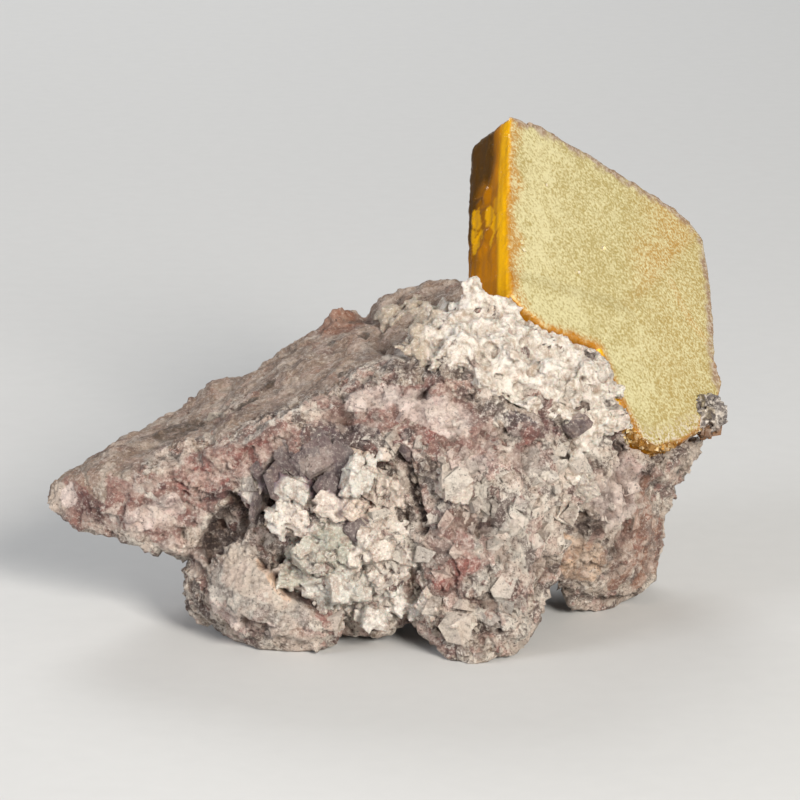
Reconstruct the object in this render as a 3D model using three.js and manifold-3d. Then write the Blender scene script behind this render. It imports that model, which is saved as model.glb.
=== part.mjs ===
// A loose hand specimen: one thick square plate of wulfenite, standing in a white calcite crust on a
// broken piece of stained limestone. Millimetres, +Z up, the viewer stands at -Y and looks along +Y.
import * as THREE from "three";
import { ConvexGeometry } from "three/addons/geometries/ConvexGeometry.js";
import { ImprovedNoise } from "three/addons/math/ImprovedNoise.js";
import { mergeVertices } from "three/addons/utils/BufferGeometryUtils.js";
import Module from "manifold-3d";

const wasm = await Module();
wasm.setup();

// ---- Driving dimensions ----
const SEAT_GAP = 0.3; // clear space round every crystal that sits in a socket
const PLATE_THICKNESS = 5.6; // front face to back face of the wulfenite plate
const PLATE_BEVEL = 0.5; // narrow bevel that the plate's edges end in
const PLATE_LEAN = 38; // degrees that the plate leans back from upright
const PLATE_TURN = 30; // degrees that its top edge turns away, measured in the plan
const PLATE_CORNER = [11.2, 14, 31]; // lower left corner of the front face
const SECOND_THICKNESS = 5.0; // the smaller plate that grew into the first one's lower edge
const SECOND_PROUD = 0.25; // how far its front face stands in front of the first one's
const ROCK_EDGE = 4.4; // longest facet edge on the rough rock
const ROCK_SWELL = 0.5; // depth of the rock's knocks and hollows
const ROCK_SWELL_SPACING = 3.6; // distance from one hollow to the next
const RHOMB_SHEAR = -0.11; // sideways shift that gives calcite its 102 and 78 degree corners
const FLOOR_BLOCK = 200; // side of the block that trims the feet flat at Z = 0
const WELD_DISTANCE = 0.0001; // corners closer than this are one corner
// Three far-apart places in the noise, one for the push along each axis.
const SWELL_STARTS = [[0.5, 9.1, 17.3], [31.7, 0.9, 5.2], [12.4, 27.8, 0.3]];

// ---- The host rock: convex lobes, each a list of corner points ----
const ROCK_LOBES = {
  prow: [
    [-31.2, 13, 11.8], [-30.8, 13.5, 13], [-30.6, 12, 11], [-30, 12.5, 13.8], [-26, 9, 15.5],
    [-20, 6.5, 17], [-13.5, 6, 18.5], [-28, 16, 14.2], [-24.5, 19, 16.2], [-19.5, 23, 18.6],
    [-13.5, 26, 20.7], [-28, 11, 9.7], [-25, 9.5, 9.6], [-22, 8.5, 9.2], [-18.5, 8, 8.2], [-24, 20, 9],
    [-17, 26, 4], [-13, 30, 9], [-13, 24, 2], [-11.5, 8, 8],
  ],
  slab: [
    [-16, 5.5, 18.5], [-12.5, 5, 19], [-9, 4.5, 20.5], [-6.5, 5, 22], [-1.5, 6, 23.5], [1.5, 8, 25.5],
    [-13.5, 26, 20.8], [-10, 27, 22.5], [-6, 28, 25], [-2.5, 28, 26], [-15, 8, 7.5], [-7.5, 5, 8.5],
    [1.5, 6, 12], [-12, 31, 9], [-3, 33, 8.5], [1.5, 26, 3], [-14, 24, 0], [1.5, 31, 21],
  ],
  knob: [
    [-6.6, 27, 25.2], [-4.6, 26, 26.6], [-2.8, 27, 26.9], [-2.3, 28.5, 26.2], [-5, 29, 25.8],
    [-4, 25.5, 25.3], [-4, 27, 24],
  ],
  left_foot: [
    [-18.3, 9, 3.5], [-18.6, 8.8, 7], [-17.8, 9, 2.2], [-15.5, 8, 1.2], [-13, 7, 0.2], [-11, 5.5, -0.5],
    [-7.5, 4.5, -0.2], [-5.5, 5, -0.2], [-4, 5.5, 1.5], [-15.5, 6, 8], [-12.5, 5, 9.5], [-10, 3, 9],
    [-7.5, 2.5, 6.5], [-4.5, 3, 4], [-14, 2.5, 4.5], [-11, 2, 3.5], [-7.5, 2.5, 2], [-17.5, 20, 2],
    [-13.5, 20, 3], [-5, 20, 4],
  ],
  middle: [
    [-10.5, 7, 17], [1, 7, 18.5], [-9.5, 6, 9], [3.5, 5, 9], [-4.5, 6, 1.6], [-1.8, 7, 0.9],
    [2, 7, 1.1], [4, 6, 1.6], [-4, 16, 4], [1.5, 16, 4],
  ],
  brow: [
    [-6.5, 5, 20.5], [-1, 4.2, 18.6], [3.5, 3.6, 17.8], [9, 3.8, 19.4], [14, 5.6, 19.6], [17, 7.6, 17.6],
    [1.5, 5.6, 24], [6, 5, 22.8], [11, 5, 21.6], [15.5, 7, 20.6], [1, 14, 16], [15, 14, 16],
  ],
  centre_foot: [
    [1.5, 6, 21.5], [5, 5.5, 23.5], [10.5, 6, 23], [14.5, 7.5, 20], [16.8, 8, 16], [16.4, 6.5, 12],
    [15.5, 7, 6.5], [14.3, 7, 4.2], [13.2, 5, 1.6], [12, 3.5, 0], [10.5, 1.5, -0.3], [8, 0.5, -0.3],
    [6.5, 1.5, 0.2], [5, 3, 0.8], [2.5, 5, 1.5], [3, 2.6, 11], [7.5, 0.5, 10], [12, 1.6, 12],
    [5, 2.4, 16.6], [12, 3.4, 17], [3, 3, 5.5], [11.8, 0.6, 4], [3.5, 16, 4], [12.5, 16, 4],
  ],
  shoulder: [
    [0, 27, 28.2], [2, 26, 29.2], [4.5, 25, 29.8], [7, 24, 30.3], [9.5, 21, 30.3], [10.5, 18, 30.3],
    [12.5, 16, 29], [15, 16, 27], [17.5, 16, 26.5], [20, 16.5, 25], [21, 14.5, 21.5], [19.5, 11, 18],
    [16, 8.5, 19], [8.5, 6.5, 23], [2.5, 8, 25], [5, 12, 27.5], [-1.5, 28, 27], [3.5, 30, 15],
    [13, 34, 16], [21, 34, 14], [3.5, 26, 3], [17, 26, 3],
  ],
  right_foot: [
    [17.5, 10, 17.5], [16, 11, 10.5], [15.8, 13, 3.4], [17, 15, 0.8], [19.5, 17, -0.5], [21.5, 18, -0.2],
    [23.8, 19.5, 0.4], [25.4, 21, 1.5], [26.4, 22, 3.5], [26.8, 22.5, 7], [26.6, 23, 10], [25, 20, 14.5],
    [20, 10.5, 10.5], [22, 13, 6], [23.5, 14, 11.5], [20.5, 12, 17], [20.5, 26, -0.5], [24.5, 30, 3],
    [23, 34, 10],
  ],
  heel: [
    [26.5, 24, 10], [28.5, 26, 10.7], [29.5, 27, 12.2], [30.2, 28, 13.6], [25.5, 22, 15.2], [24, 18, 13.5],
    [25.5, 26, 6.5], [28.8, 32.5, 13], [28, 33, 10.8], [26, 33.3, 7.8], [24, 34, 12.5],
  ],
  back_foot: [
    [-12.5, 22, -0.4], [-5, 20, 0.2], [-13, 26, -0.6], [-4, 24, -0.6], [-14, 30, 3], [-4.5, 31, 5],
    [-12, 20, 8], [-4, 20, 8],
  ],
};

// ---- The calcite that fills the pocket in the front of the rock ----
const VEIN = {
  body: [
    [-10, 5.5, 16.5], [-7, 5, 18], [-3, 4.8, 18.5], [0.5, 5, 17.5], [-10, 4.5, 12.5], [-9, 4, 9],
    [-7, 4, 6.5], [-5, 3.6, 5.5], [-2, 3.4, 13], [1, 4.2, 14], [2.8, 4.2, 9], [-3, 5, 2.5],
    [-1.5, 5.5, 2], [1.5, 5.5, 2.5], [2.6, 4.6, 4], [-0.5, 3.4, 5.5], [-5, 10, 14], [0, 10, 8],
  ],
  // Each rhomb: middle, edge length, and turns about X, Y and Z in degrees.
  knobs: [
    { at: [-8.6, 4.2, 15.6], edge: 2.8, turn: [20, 35, 15] },
    { at: [-5.4, 3.4, 14.2], edge: 2.9, turn: [-15, 50, -25] },
    { at: [-2.6, 3.8, 16.4], edge: 2.9, turn: [30, 15, 40] },
    { at: [-8.8, 3.6, 13.0], edge: 2.6, turn: [10, -20, 30] },
    { at: [-6.3, 3.0, 12.0], edge: 2.8, turn: [40, 20, -10] },
    { at: [-3.6, 2.9, 13.4], edge: 2.2, turn: [-30, 60, 20] },
    { at: [-0.2, 3.6, 14.2], edge: 2.4, turn: [15, 70, -35] },
    { at: [-5.2, 2.9, 9.2], edge: 3.2, turn: [25, -35, 15] },
    { at: [-2.2, 2.7, 10.4], edge: 2.8, turn: [-20, 30, 50] },
    { at: [0.8, 3.3, 10.8], edge: 2.6, turn: [35, 10, -20] },
    { at: [-3.4, 2.9, 6.6], edge: 2.6, turn: [5, 45, 35] },
    { at: [0.2, 3.2, 7.0], edge: 2.7, turn: [-35, 20, 10] },
    { at: [-0.8, 4.4, 3.8], edge: 2.2, turn: [20, 60, -15] },
  ],
};

// ---- The white crust that the plate stands in: two thin blankets with knobs on them ----
const CRUST_LOBES = [
  {
    body: [
      [0.5, 9.5, 27], [4, 8, 26.5], [9, 6, 24], [13, 7, 22.2], [12, 12.5, 30], [9.5, 14, 31.3],
      [7, 13, 30.2], [3, 14, 28.6], [5, 15, 26.5], [10, 11, 23], [14, 12, 26], [8.5, 17, 29.5],
    ],
    knobs: [
      { at: [8.6, 13.2, 31.0], edge: 1.7, turn: [20, 30, 10] },
      { at: [3.6, 10.4, 27.6], edge: 2.4, turn: [-20, 25, 40] },
      { at: [7.4, 8.4, 27.2], edge: 2.6, turn: [35, 10, -25] },
      { at: [11.2, 8.4, 26.4], edge: 2.6, turn: [10, 50, 15] },
      { at: [9.0, 6.6, 24.6], edge: 2.2, turn: [45, 20, 5] },
    ],
  },
  {
    body: [
      [11, 6.2, 22.6], [15, 7.2, 20.6], [18.5, 9.3, 19.4], [20.5, 12.8, 22.4], [18.5, 14, 26.2],
      [15.5, 13.5, 27.3], [12, 12.5, 29], [13, 13, 22], [18, 15, 22],
    ],
    knobs: [
      { at: [14.4, 9.2, 24.4], edge: 2.4, turn: [-30, 40, 30] },
      { at: [13.2, 7.2, 22.4], edge: 2.0, turn: [15, -25, 35] },
      { at: [17.2, 10.4, 21.8], edge: 2.3, turn: [25, 60, -10] },
      { at: [18.2, 12.4, 24.2], edge: 2.0, turn: [-10, 20, 50] },
    ],
  },
];

// ---- Single calcite rhombs that stand in the rock away from the vein ----
const LONE_RHOMBS = [
  { at: [6.2, 2.0, 16.2], edge: 2.6, turn: [10, 12, 20] },
  { at: [4.1, 2.4, 5.3], edge: 2.2, turn: [35, 30, -30] },
  { at: [6.8, 0.9, 3.6], edge: 2.0, turn: [20, -35, 40] },
  { at: [16.1, 6.8, 12.6], edge: 2.2, turn: [-15, 20, 35] },
  { at: [18.0, 7.8, 14.9], edge: 2.4, turn: [30, 45, 10] },
  { at: [21.0, 12.6, 19.8], edge: 2.4, turn: [8, -12, 15] },
];

// ---- The dark sparkling cluster at the plate's lower right corner ----
const DRUSE_CRYSTALS = [
  { at: [31.0, 25.0, 17.5], edge: 2.0, turn: [30, 20, 10] },
  { at: [29.8, 24.4, 16.9], edge: 1.8, turn: [-20, 40, 30] },
  { at: [31.3, 25.9, 16.1], edge: 1.8, turn: [15, 60, -20] },
  { at: [30.2, 25.4, 15.5], edge: 1.9, turn: [40, 10, 25] },
];

// ---- Outlines of the two grown-together plates, seen square on from the front ----
const FIRST_OUTLINE = [
  [0, 0], [0.2, 12], [0.8, 22], [1.9, 23.4], [4.9, 24.1], [12, 24.5], [23, 24.7], [25.8, 24.3],
  [27.6, 22.8], [28.4, 16.4], [28.4, 8.8], [27.6, 3], [20, 0.5], [11.7, -0.2], [4.8, -1.6], [1.7, -1],
];
const SECOND_OUTLINE = [
  [11.4, 1.2], [12.5, -2.2], [13.7, -4.8], [15, -7], [17, -7.9], [19, -7.9], [22.5, -5.2], [25.2, -2.6],
  [26.2, 0.4], [28.4, 3.2], [28.8, 4.8], [28.3, 6.6], [26, 11], [16, 8],
];

// ---- Finishes ----
const FINISH = {
  limestone: { color: 0x9a8678, roughness: 0.9 },
  calcite: { color: 0xd2cab5, roughness: 0.55 },
  crust: { color: 0xded3c2, roughness: 0.7 },
  wulfenite: { color: 0xc9a544, roughness: 0.35 },
  druse: { color: 0x4a4440, roughness: 0.25 },
};

function solidFrom(geometry) {
  geometry.deleteAttribute("normal");
  geometry.deleteAttribute("uv");
  const welded = mergeVertices(geometry, WELD_DISTANCE);
  const mesh = new wasm.Mesh({
    numProp: 3,
    vertProperties: new Float32Array(welded.attributes.position.array),
    triVerts: new Uint32Array(welded.index.array),
  });
  return new wasm.Manifold(mesh);
}

function geometryFrom(solid) {
  const { vertProperties, triVerts } = solid.getMesh();
  const geometry = new THREE.BufferGeometry();
  geometry.setAttribute("position", new THREE.BufferAttribute(vertProperties, 3));
  geometry.setIndex(new THREE.BufferAttribute(triVerts, 1));
  return geometry;
}

function joined(solids) {
  return solids.reduce((whole, solid) => whole.add(solid));
}

// The eight directions of a cube's corners. A convex piece swept over them is clear by the gap all round.
const CUBE_CORNERS = [-1, 1].flatMap((x) => [-1, 1].flatMap((y) => [-1, 1].map((z) => [x, y, z])));

function hull(points, clearance = 0) {
  const corners = points.flatMap((point) =>
    clearance === 0
      ? [new THREE.Vector3(...point)]
      : CUBE_CORNERS.map((side) => new THREE.Vector3(...side).multiplyScalar(clearance).add(
          new THREE.Vector3(...point))));
  return solidFrom(new ConvexGeometry(corners));
}

// Calcite breaks into leaning blocks: every face a diamond.
function rhombCorners({ at, edge, turn }) {
  const block = new THREE.BoxGeometry(edge, edge, edge);
  block.applyMatrix4(new THREE.Matrix4().makeShear(...Array(6).fill(RHOMB_SHEAR)));
  const angles = turn.map(THREE.MathUtils.degToRad);
  block.applyMatrix4(new THREE.Matrix4().makeRotationFromEuler(new THREE.Euler(...angles)));
  block.translate(...at);
  const place = block.attributes.position;
  return Array.from({ length: place.count }, (_, i) => [place.getX(i), place.getY(i), place.getZ(i)]);
}

function rhombs(list, clearance = 0) {
  return joined(list.map((rhomb) => hull(rhombCorners(rhomb), clearance)));
}

// A grown-together mass: its body and the rhombs that stick out of it.
function mass({ body, knobs }) {
  return hull(body).add(rhombs(knobs));
}

// The smooth pocket in the rock that a mass sits in.
function pocket({ body, knobs }) {
  return hull([...body, ...knobs.flatMap(rhombCorners)], SEAT_GAP);
}

// Cut every edge that is too long in half, on both its sides at once, until none is left.
function splitLongEdges(geometry, longest) {
  const points = Array.from(geometry.attributes.position.array);
  let triangles = Array.from(geometry.index.array);
  const apart = (a, b, axis) => points[3 * a + axis] - points[3 * b + axis];
  const distance = (a, b) => Math.hypot(apart(a, b, 0), apart(a, b, 1), apart(a, b, 2));
  for (let isSplit = true; isSplit; ) {
    isSplit = false;
    const middles = new Map();
    const middle = (a, b) => {
      const key = a < b ? `${a},${b}` : `${b},${a}`;
      if (!middles.has(key)) {
        const isLong = distance(a, b) > longest;
        middles.set(key, isLong ? points.length / 3 : -1);
        if (isLong) {
          points.push(...[0, 1, 2].map((axis) => (points[3 * a + axis] + points[3 * b + axis]) / 2));
        }
      }
      return middles.get(key);
    };
    const next = [];
    for (let i = 0; i < triangles.length; i += 3) {
      const corners = triangles.slice(i, i + 3);
      const halves = corners.map((corner, k) => middle(corner, corners[(k + 1) % 3]));
      const count = halves.filter((half) => half >= 0).length;
      isSplit = isSplit || count > 0;
      if (count === 0) {
        next.push(...corners);
        continue;
      }
      // Turn the triangle so that its first side is split, and with two splits the first two are.
      const first = [0, 1, 2].find((k) => halves[k] >= 0 && (count !== 2 || halves[(k + 1) % 3] >= 0));
      const [a, b, c] = [0, 1, 2].map((k) => corners[(first + k) % 3]);
      const [ab, bc, ca] = [0, 1, 2].map((k) => halves[(first + k) % 3]);
      if (count === 1) {
        next.push(a, ab, c, ab, b, c);
      } else if (count === 2) {
        next.push(a, ab, c, ab, bc, c, ab, b, bc);
      } else {
        next.push(a, ab, ca, ab, b, bc, ca, bc, c, ab, bc, ca);
      }
    }
    triangles = next;
  }
  const split = new THREE.BufferGeometry();
  split.setAttribute("position", new THREE.Float32BufferAttribute(points, 3));
  split.setIndex(triangles);
  return split;
}

// Broken rock: the same smooth push at the same place, so that the skin stays closed.
function roughened(solid) {
  const noise = new ImprovedNoise();
  const geometry = splitLongEdges(geometryFrom(solid), ROCK_EDGE);
  const place = geometry.attributes.position;
  for (let i = 0; i < place.count; i += 1) {
    const p = new THREE.Vector3().fromBufferAttribute(place, i);
    const q = p.clone().divideScalar(ROCK_SWELL_SPACING);
    const push = SWELL_STARTS.map(([x, y, z]) => noise.noise(q.x + x, q.y + y, q.z + z));
    p.addScaledVector(new THREE.Vector3(...push), 2 * ROCK_SWELL);
    place.setXYZ(i, p.x, p.y, p.z);
  }
  return solidFrom(geometry);
}

// ---- The plates' own axes: across the top edge, up the side, and out of the front face ----
function plateAxes() {
  const lean = THREE.MathUtils.degToRad(PLATE_LEAN);
  const turn = THREE.MathUtils.degToRad(PLATE_TURN);
  const up = new THREE.Vector3(0, Math.cos(lean), Math.sin(lean));
  const across = new THREE.Vector3(Math.cos(turn), Math.sin(turn), 0);
  across.z = -across.y * up.y / up.z;
  across.normalize();
  const out = new THREE.Vector3().crossVectors(across, up);
  return { across, up, out };
}

function plate(outline, thickness, proud, clearance = 0) {
  const shape = new THREE.Shape(outline.map(([x, y]) => new THREE.Vector2(x, y)));
  const slice = new THREE.ExtrudeGeometry(shape, {
    depth: thickness - 2 * PLATE_BEVEL + 2 * clearance,
    bevelEnabled: true,
    bevelThickness: PLATE_BEVEL,
    bevelSize: PLATE_BEVEL,
    bevelOffset: clearance - PLATE_BEVEL,
    bevelSegments: 1,
  });
  slice.translate(0, 0, proud - thickness + PLATE_BEVEL - clearance);
  const { across, up, out } = plateAxes();
  slice.applyMatrix4(new THREE.Matrix4().makeBasis(across, up, out).setPosition(...PLATE_CORNER));
  return solidFrom(slice);
}

function wulfenite(clearance = 0) {
  const first = plate(FIRST_OUTLINE, PLATE_THICKNESS, 0, clearance);
  const second = plate(SECOND_OUTLINE, SECOND_THICKNESS, SECOND_PROUD, clearance);
  return first.add(second);
}

function underFloor() {
  const block = new THREE.BoxGeometry(FLOOR_BLOCK, FLOOR_BLOCK, FLOOR_BLOCK);
  block.translate(0, 0, -FLOOR_BLOCK / 2);
  return solidFrom(block);
}

function largestPiece(solid) {
  return solid.decompose().reduce((a, b) => (a.volume() > b.volume() ? a : b));
}

function hostRock() {
  const lobes = joined(Object.values(ROCK_LOBES).map((points) => hull(points)));
  const sockets = joined([
    wulfenite(SEAT_GAP),
    pocket(VEIN),
    ...CRUST_LOBES.map(pocket),
    rhombs(LONE_RHOMBS, SEAT_GAP),
    rhombs(DRUSE_CRYSTALS, SEAT_GAP),
  ]);
  return largestPiece(roughened(lobes).subtract(underFloor()).subtract(sockets));
}

function calciteVein() {
  return largestPiece(mass(VEIN).subtract(rhombs(LONE_RHOMBS, SEAT_GAP)));
}

function calciteCrust() {
  const taken = joined([wulfenite(SEAT_GAP), rhombs(LONE_RHOMBS, SEAT_GAP)]);
  return largestPiece(joined(CRUST_LOBES.map(mass)).subtract(taken));
}

function darkDruse() {
  return largestPiece(rhombs(DRUSE_CRYSTALS).subtract(wulfenite(SEAT_GAP)));
}

const pieces = [
  ["host_rock", hostRock(), "limestone"],
  ["calcite_vein", calciteVein(), "calcite"],
  ["calcite_crust", calciteCrust(), "crust"],
  ["wulfenite_plate", wulfenite(), "wulfenite"],
  ["dark_druse", darkDruse(), "druse"],
  ...LONE_RHOMBS.map((rhomb, i) => [`calcite_rhomb_${i + 1}`, rhombs([rhomb]), "calcite"]),
];

const specimen = new THREE.Group();
for (const [name, solid, finish] of pieces) {
  const mesh = new THREE.Mesh(geometryFrom(solid), new THREE.MeshStandardMaterial(FINISH[finish]));
  mesh.name = name;
  specimen.add(mesh);
}

// The origin is on the surface that the feet stand on, under the middle of the whole specimen.
const middle = new THREE.Box3().setFromObject(specimen).getCenter(new THREE.Vector3());
specimen.position.set(-middle.x, -middle.y, 0);

export default specimen;
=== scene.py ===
"""A loose specimen of wulfenite: one thick honey-yellow plate in a white calcite crust on stained limestone.

Shapes are worked out in millimetres in the row's own frame and turned to metres when a piece is made.
"""

import math

import bmesh
import bpy
import numpy as np
from mathutils import Euler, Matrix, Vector
from mathutils.bvhtree import BVHTree


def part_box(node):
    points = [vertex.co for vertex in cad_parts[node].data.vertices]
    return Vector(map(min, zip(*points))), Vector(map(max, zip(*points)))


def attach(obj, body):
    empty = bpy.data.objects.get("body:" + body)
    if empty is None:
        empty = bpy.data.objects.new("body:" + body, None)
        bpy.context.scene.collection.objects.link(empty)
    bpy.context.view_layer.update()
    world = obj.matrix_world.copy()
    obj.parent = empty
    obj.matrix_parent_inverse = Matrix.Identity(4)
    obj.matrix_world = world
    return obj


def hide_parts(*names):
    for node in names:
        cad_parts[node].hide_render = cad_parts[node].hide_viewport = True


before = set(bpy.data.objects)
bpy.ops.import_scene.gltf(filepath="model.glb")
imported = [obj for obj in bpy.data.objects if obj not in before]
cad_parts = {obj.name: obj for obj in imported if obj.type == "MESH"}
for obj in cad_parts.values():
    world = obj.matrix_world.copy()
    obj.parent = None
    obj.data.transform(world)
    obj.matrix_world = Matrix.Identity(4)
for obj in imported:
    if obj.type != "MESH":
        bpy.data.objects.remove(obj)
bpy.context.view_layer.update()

MM = 0.001  # one millimetre in metres
SEED = 7


# ---------------------------------------------------------------------------------------------
# Camera, light and floor
# ---------------------------------------------------------------------------------------------
CAMERA_TARGET = Vector((0.97, -7.78, 20.9))  # mm
CAMERA_DISTANCE = 380.0  # mm
CAMERA_ELEVATION = math.radians(14.0)
CAMERA_LENS = 186.0  # mm
SENSOR_WIDTH = 36.0  # mm
CLIPPING = (0.01, 20.0)  # m
SOFTBOXES = [
    # name, place and width in metres, power in watts, colour
    ("key softbox", (0.26, -0.60, 0.30), 0.20, 7.0, "#fffaf2"),
    ("fill softbox", (-0.50, -0.36, 0.26), 0.26, 2.0, "#f8faff"),
    ("rim softbox", (-0.10, 0.55, 0.42), 0.30, 1.6, "#ffffff"),
]
SOFTBOX_TARGET = Vector((0.0, 0.0, 0.02))  # m
SKY_STRENGTH = 0.28
FLOOR_WIDTH = 6.0  # m


def srgb(code):
    """An sRGB hex colour as linear red, green, blue and alpha."""
    channels = [int(code[i : i + 2], 16) / 255.0 for i in (1, 3, 5)]
    linear = [c / 12.92 if c <= 0.04045 else ((c + 0.055) / 1.055) ** 2.4 for c in channels]
    return (*linear, 1.0)


def add_camera():
    data = bpy.data.cameras.new("camera")
    data.lens = CAMERA_LENS
    data.sensor_width = SENSOR_WIDTH
    data.clip_start, data.clip_end = CLIPPING
    camera = bpy.data.objects.new("camera", data)
    back = Vector((0.0, -math.cos(CAMERA_ELEVATION), math.sin(CAMERA_ELEVATION)))
    camera.location = (CAMERA_TARGET + back * CAMERA_DISTANCE) * MM
    camera.rotation_euler = back.to_track_quat("Z", "Y").to_euler()
    bpy.context.scene.collection.objects.link(camera)
    bpy.context.scene.camera = camera


def add_softbox(name, place, width, power, colour):
    """A square studio softbox that faces the specimen."""
    data = bpy.data.lights.new(name, "AREA")
    data.shape = "SQUARE"
    data.size = width
    data.energy = power
    data.color = srgb(colour)[:3]
    lamp = bpy.data.objects.new(name, data)
    lamp.location = place
    lamp.rotation_euler = (Vector(place) - SOFTBOX_TARGET).to_track_quat("Z", "Y").to_euler()
    bpy.context.scene.collection.objects.link(lamp)


def add_studio():
    world = bpy.data.worlds.new("studio")
    world.use_nodes = True
    bpy.context.scene.world = world
    sky = world.node_tree.nodes["Background"]
    sky.inputs["Color"].default_value = srgb("#eef0f2")
    sky.inputs["Strength"].default_value = SKY_STRENGTH
    for softbox in SOFTBOXES:
        add_softbox(*softbox)
    bpy.ops.mesh.primitive_plane_add(size=FLOOR_WIDTH, location=(0.0, 0.0, 0.0))
    floor = bpy.context.object
    floor.name = "floor"
    floor.data.materials.append(painted_floor())
    bpy.context.scene.view_settings.view_transform = "Standard"


# ---------------------------------------------------------------------------------------------
# Noise on arrays of points. A salt is a whole number that gives a pattern its own random numbers.
# ---------------------------------------------------------------------------------------------
CUBE = np.array([(x, y, z) for x in (0, 1) for y in (0, 1) for z in (0, 1)])
NEIGHBOURS = np.array([(x, y, z) for x in (-1, 0, 1) for y in (-1, 0, 1) for z in (-1, 0, 1)])


def hashed(cell, salt):
    """An even random number from 0 to 1 for every whole-number cell, the same each run."""
    c = cell.astype(np.int64)
    h = (c[:, 0] * 73856093) ^ (c[:, 1] * 19349663) ^ (c[:, 2] * 83492791) ^ (salt * 2654435761)
    for shift, factor in ((13, 1274126177), (16, 2246822519), (15, 3266489917)):
        h = h & 0xFFFFFFFF
        h = (h ^ (h >> shift)) * factor
    return ((h & 0xFFFFFFFF) >> 8) / float(1 << 24)


def lumps(p, size, salt, octaves=3):
    """Smooth lumps about size mm apart with finer ones on them, from about -1 to 1."""
    total = np.zeros(len(p))
    weight = 1.0
    for octave in range(octaves):
        q = p / size
        base = np.floor(q)
        f = q - base
        f = f * f * f * (f * (f * 6.0 - 15.0) + 10.0)
        for corner in CUBE:
            share = np.prod(np.where(corner, f, 1.0 - f), axis=1)
            total += weight * share * (2.0 * hashed(base + corner, salt + octave) - 1.0)
        weight *= 0.5
        size *= 0.47
    return total / 1.2


def warped(p, size, by, salt):
    """The points moved about by lumps, so that straight borders between cells turn crooked."""
    return p + by * np.stack([lumps(p, size, salt + 10 * k) for k in range(3)], axis=1)


def chips(p, size, salt):
    """Broken cells about size mm across. For each point: the way from its cell's middle in cell sizes,
    three random numbers of the cell, and how far it is from the cell's edge in cell sizes."""
    q = p / size
    base = np.floor(q)
    nearest = np.full(len(p), np.inf)
    second = np.full(len(p), np.inf)
    middle = np.zeros_like(q)
    owner = np.zeros_like(q)
    for step in NEIGHBOURS:
        cell = base + step
        centre = cell + np.stack([hashed(cell, salt + k) for k in range(3)], axis=1)
        distance = ((q - centre) ** 2).sum(axis=1)
        closer = distance < nearest
        second = np.where(closer, nearest, np.minimum(second, distance))
        nearest = np.where(closer, distance, nearest)
        middle[closer] = centre[closer]
        owner[closer] = cell[closer]
    own = np.stack([hashed(owner, salt + 3 + k) for k in range(3)], axis=1)
    return q - middle, own, np.sqrt(second) - np.sqrt(nearest)


def faceted(p, size, salt):
    """Height of a surface broken into tilted flat chips, from about -1 to 1."""
    way, own, _ = chips(p, size, salt)
    return (way * (own * 2.0 - 1.0)).sum(axis=1) + 0.6 * (own[:, 0] - 0.5)


def cobbled(p, size, salt):
    """Height of rounded knobs packed side by side, from 0 in the joints to about 1."""
    _, own, border = chips(p, size, salt)
    return np.sqrt(np.clip(border, 0.0, 1.0)) * (0.6 + 0.6 * own[:, 1])


def eased(x, low, high):
    """0 up to low, 1 from high on, and a soft rise between them."""
    t = np.clip((x - low) / (high - low), 0.0, 1.0)
    return t * t * (3.0 - 2.0 * t)


def reach_of_bar(p, start, end):
    """How far each point is from the straight bar between two places, in mm."""
    start = np.array(start, float)
    along = np.array(end, float) - start
    t = np.clip(((p - start) @ along) / max(along @ along, 1e-9), 0.0, 1.0)
    return np.linalg.norm(p - start - t[:, None] * along, axis=1)


def reach_of_route(p, route):
    """How far each point is from a route of places, in mm."""
    return np.minimum.reduce([reach_of_bar(p, start, end) for start, end in zip(route, route[1:])])


def patch(p, spots, salt=0, ragged=0.3, grain=2.2):
    """1 inside the spots and 0 off them. A spot is a ball (centre, radius) or a bar (end, end, radius)."""
    inside = np.full(len(p), -9.0)
    for spot in spots:
        inside = np.maximum(inside, 1.0 - reach_of_bar(p, spot[0], spot[-2]) / spot[-1])
    return eased(inside + ragged * lumps(p, grain, salt), 0.0, 0.35)


# ---------------------------------------------------------------------------------------------
# Meshes as arrays: points in mm, faces as index rows
# ---------------------------------------------------------------------------------------------
def cad_solid(node):
    """Points and triangles of a CAD solid, with equal points made one."""
    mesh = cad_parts[node].data
    flat = np.zeros(len(mesh.vertices) * 3)
    mesh.vertices.foreach_get("co", flat)
    points, same = np.unique(np.round(flat.reshape(-1, 3) / MM, 3), axis=0, return_inverse=True)
    outlines = [polygon.vertices for polygon in mesh.polygons]
    triangles = [(f[0], f[k], f[k + 1]) for f in outlines for k in range(1, len(f) - 1)]
    faces = same.reshape(-1)[np.array(triangles)]
    whole = (faces[:, 0] != faces[:, 1]) & (faces[:, 1] != faces[:, 2]) & (faces[:, 2] != faces[:, 0])
    return points, faces[whole]


def mesh_of(name, points, faces):
    mesh = bpy.data.meshes.new(name)
    mesh.vertices.add(len(points))
    mesh.vertices.foreach_set("co", (points * MM).astype(np.float32).ravel())
    mesh.loops.add(faces.size)
    mesh.loops.foreach_set("vertex_index", faces.astype(np.int32).ravel())
    mesh.polygons.add(len(faces))
    mesh.polygons.foreach_set("loop_start", np.arange(0, faces.size, faces.shape[1], dtype=np.int32))
    mesh.update(calc_edges=True)
    return mesh


def joined(parts):
    """Several (points, faces) pairs as one."""
    starts = np.cumsum([0] + [len(points) for points, _ in parts])
    points = np.concatenate([part[0] for part in parts])
    return points, np.concatenate([part[1] + start for part, start in zip(parts, starts)])


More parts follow.
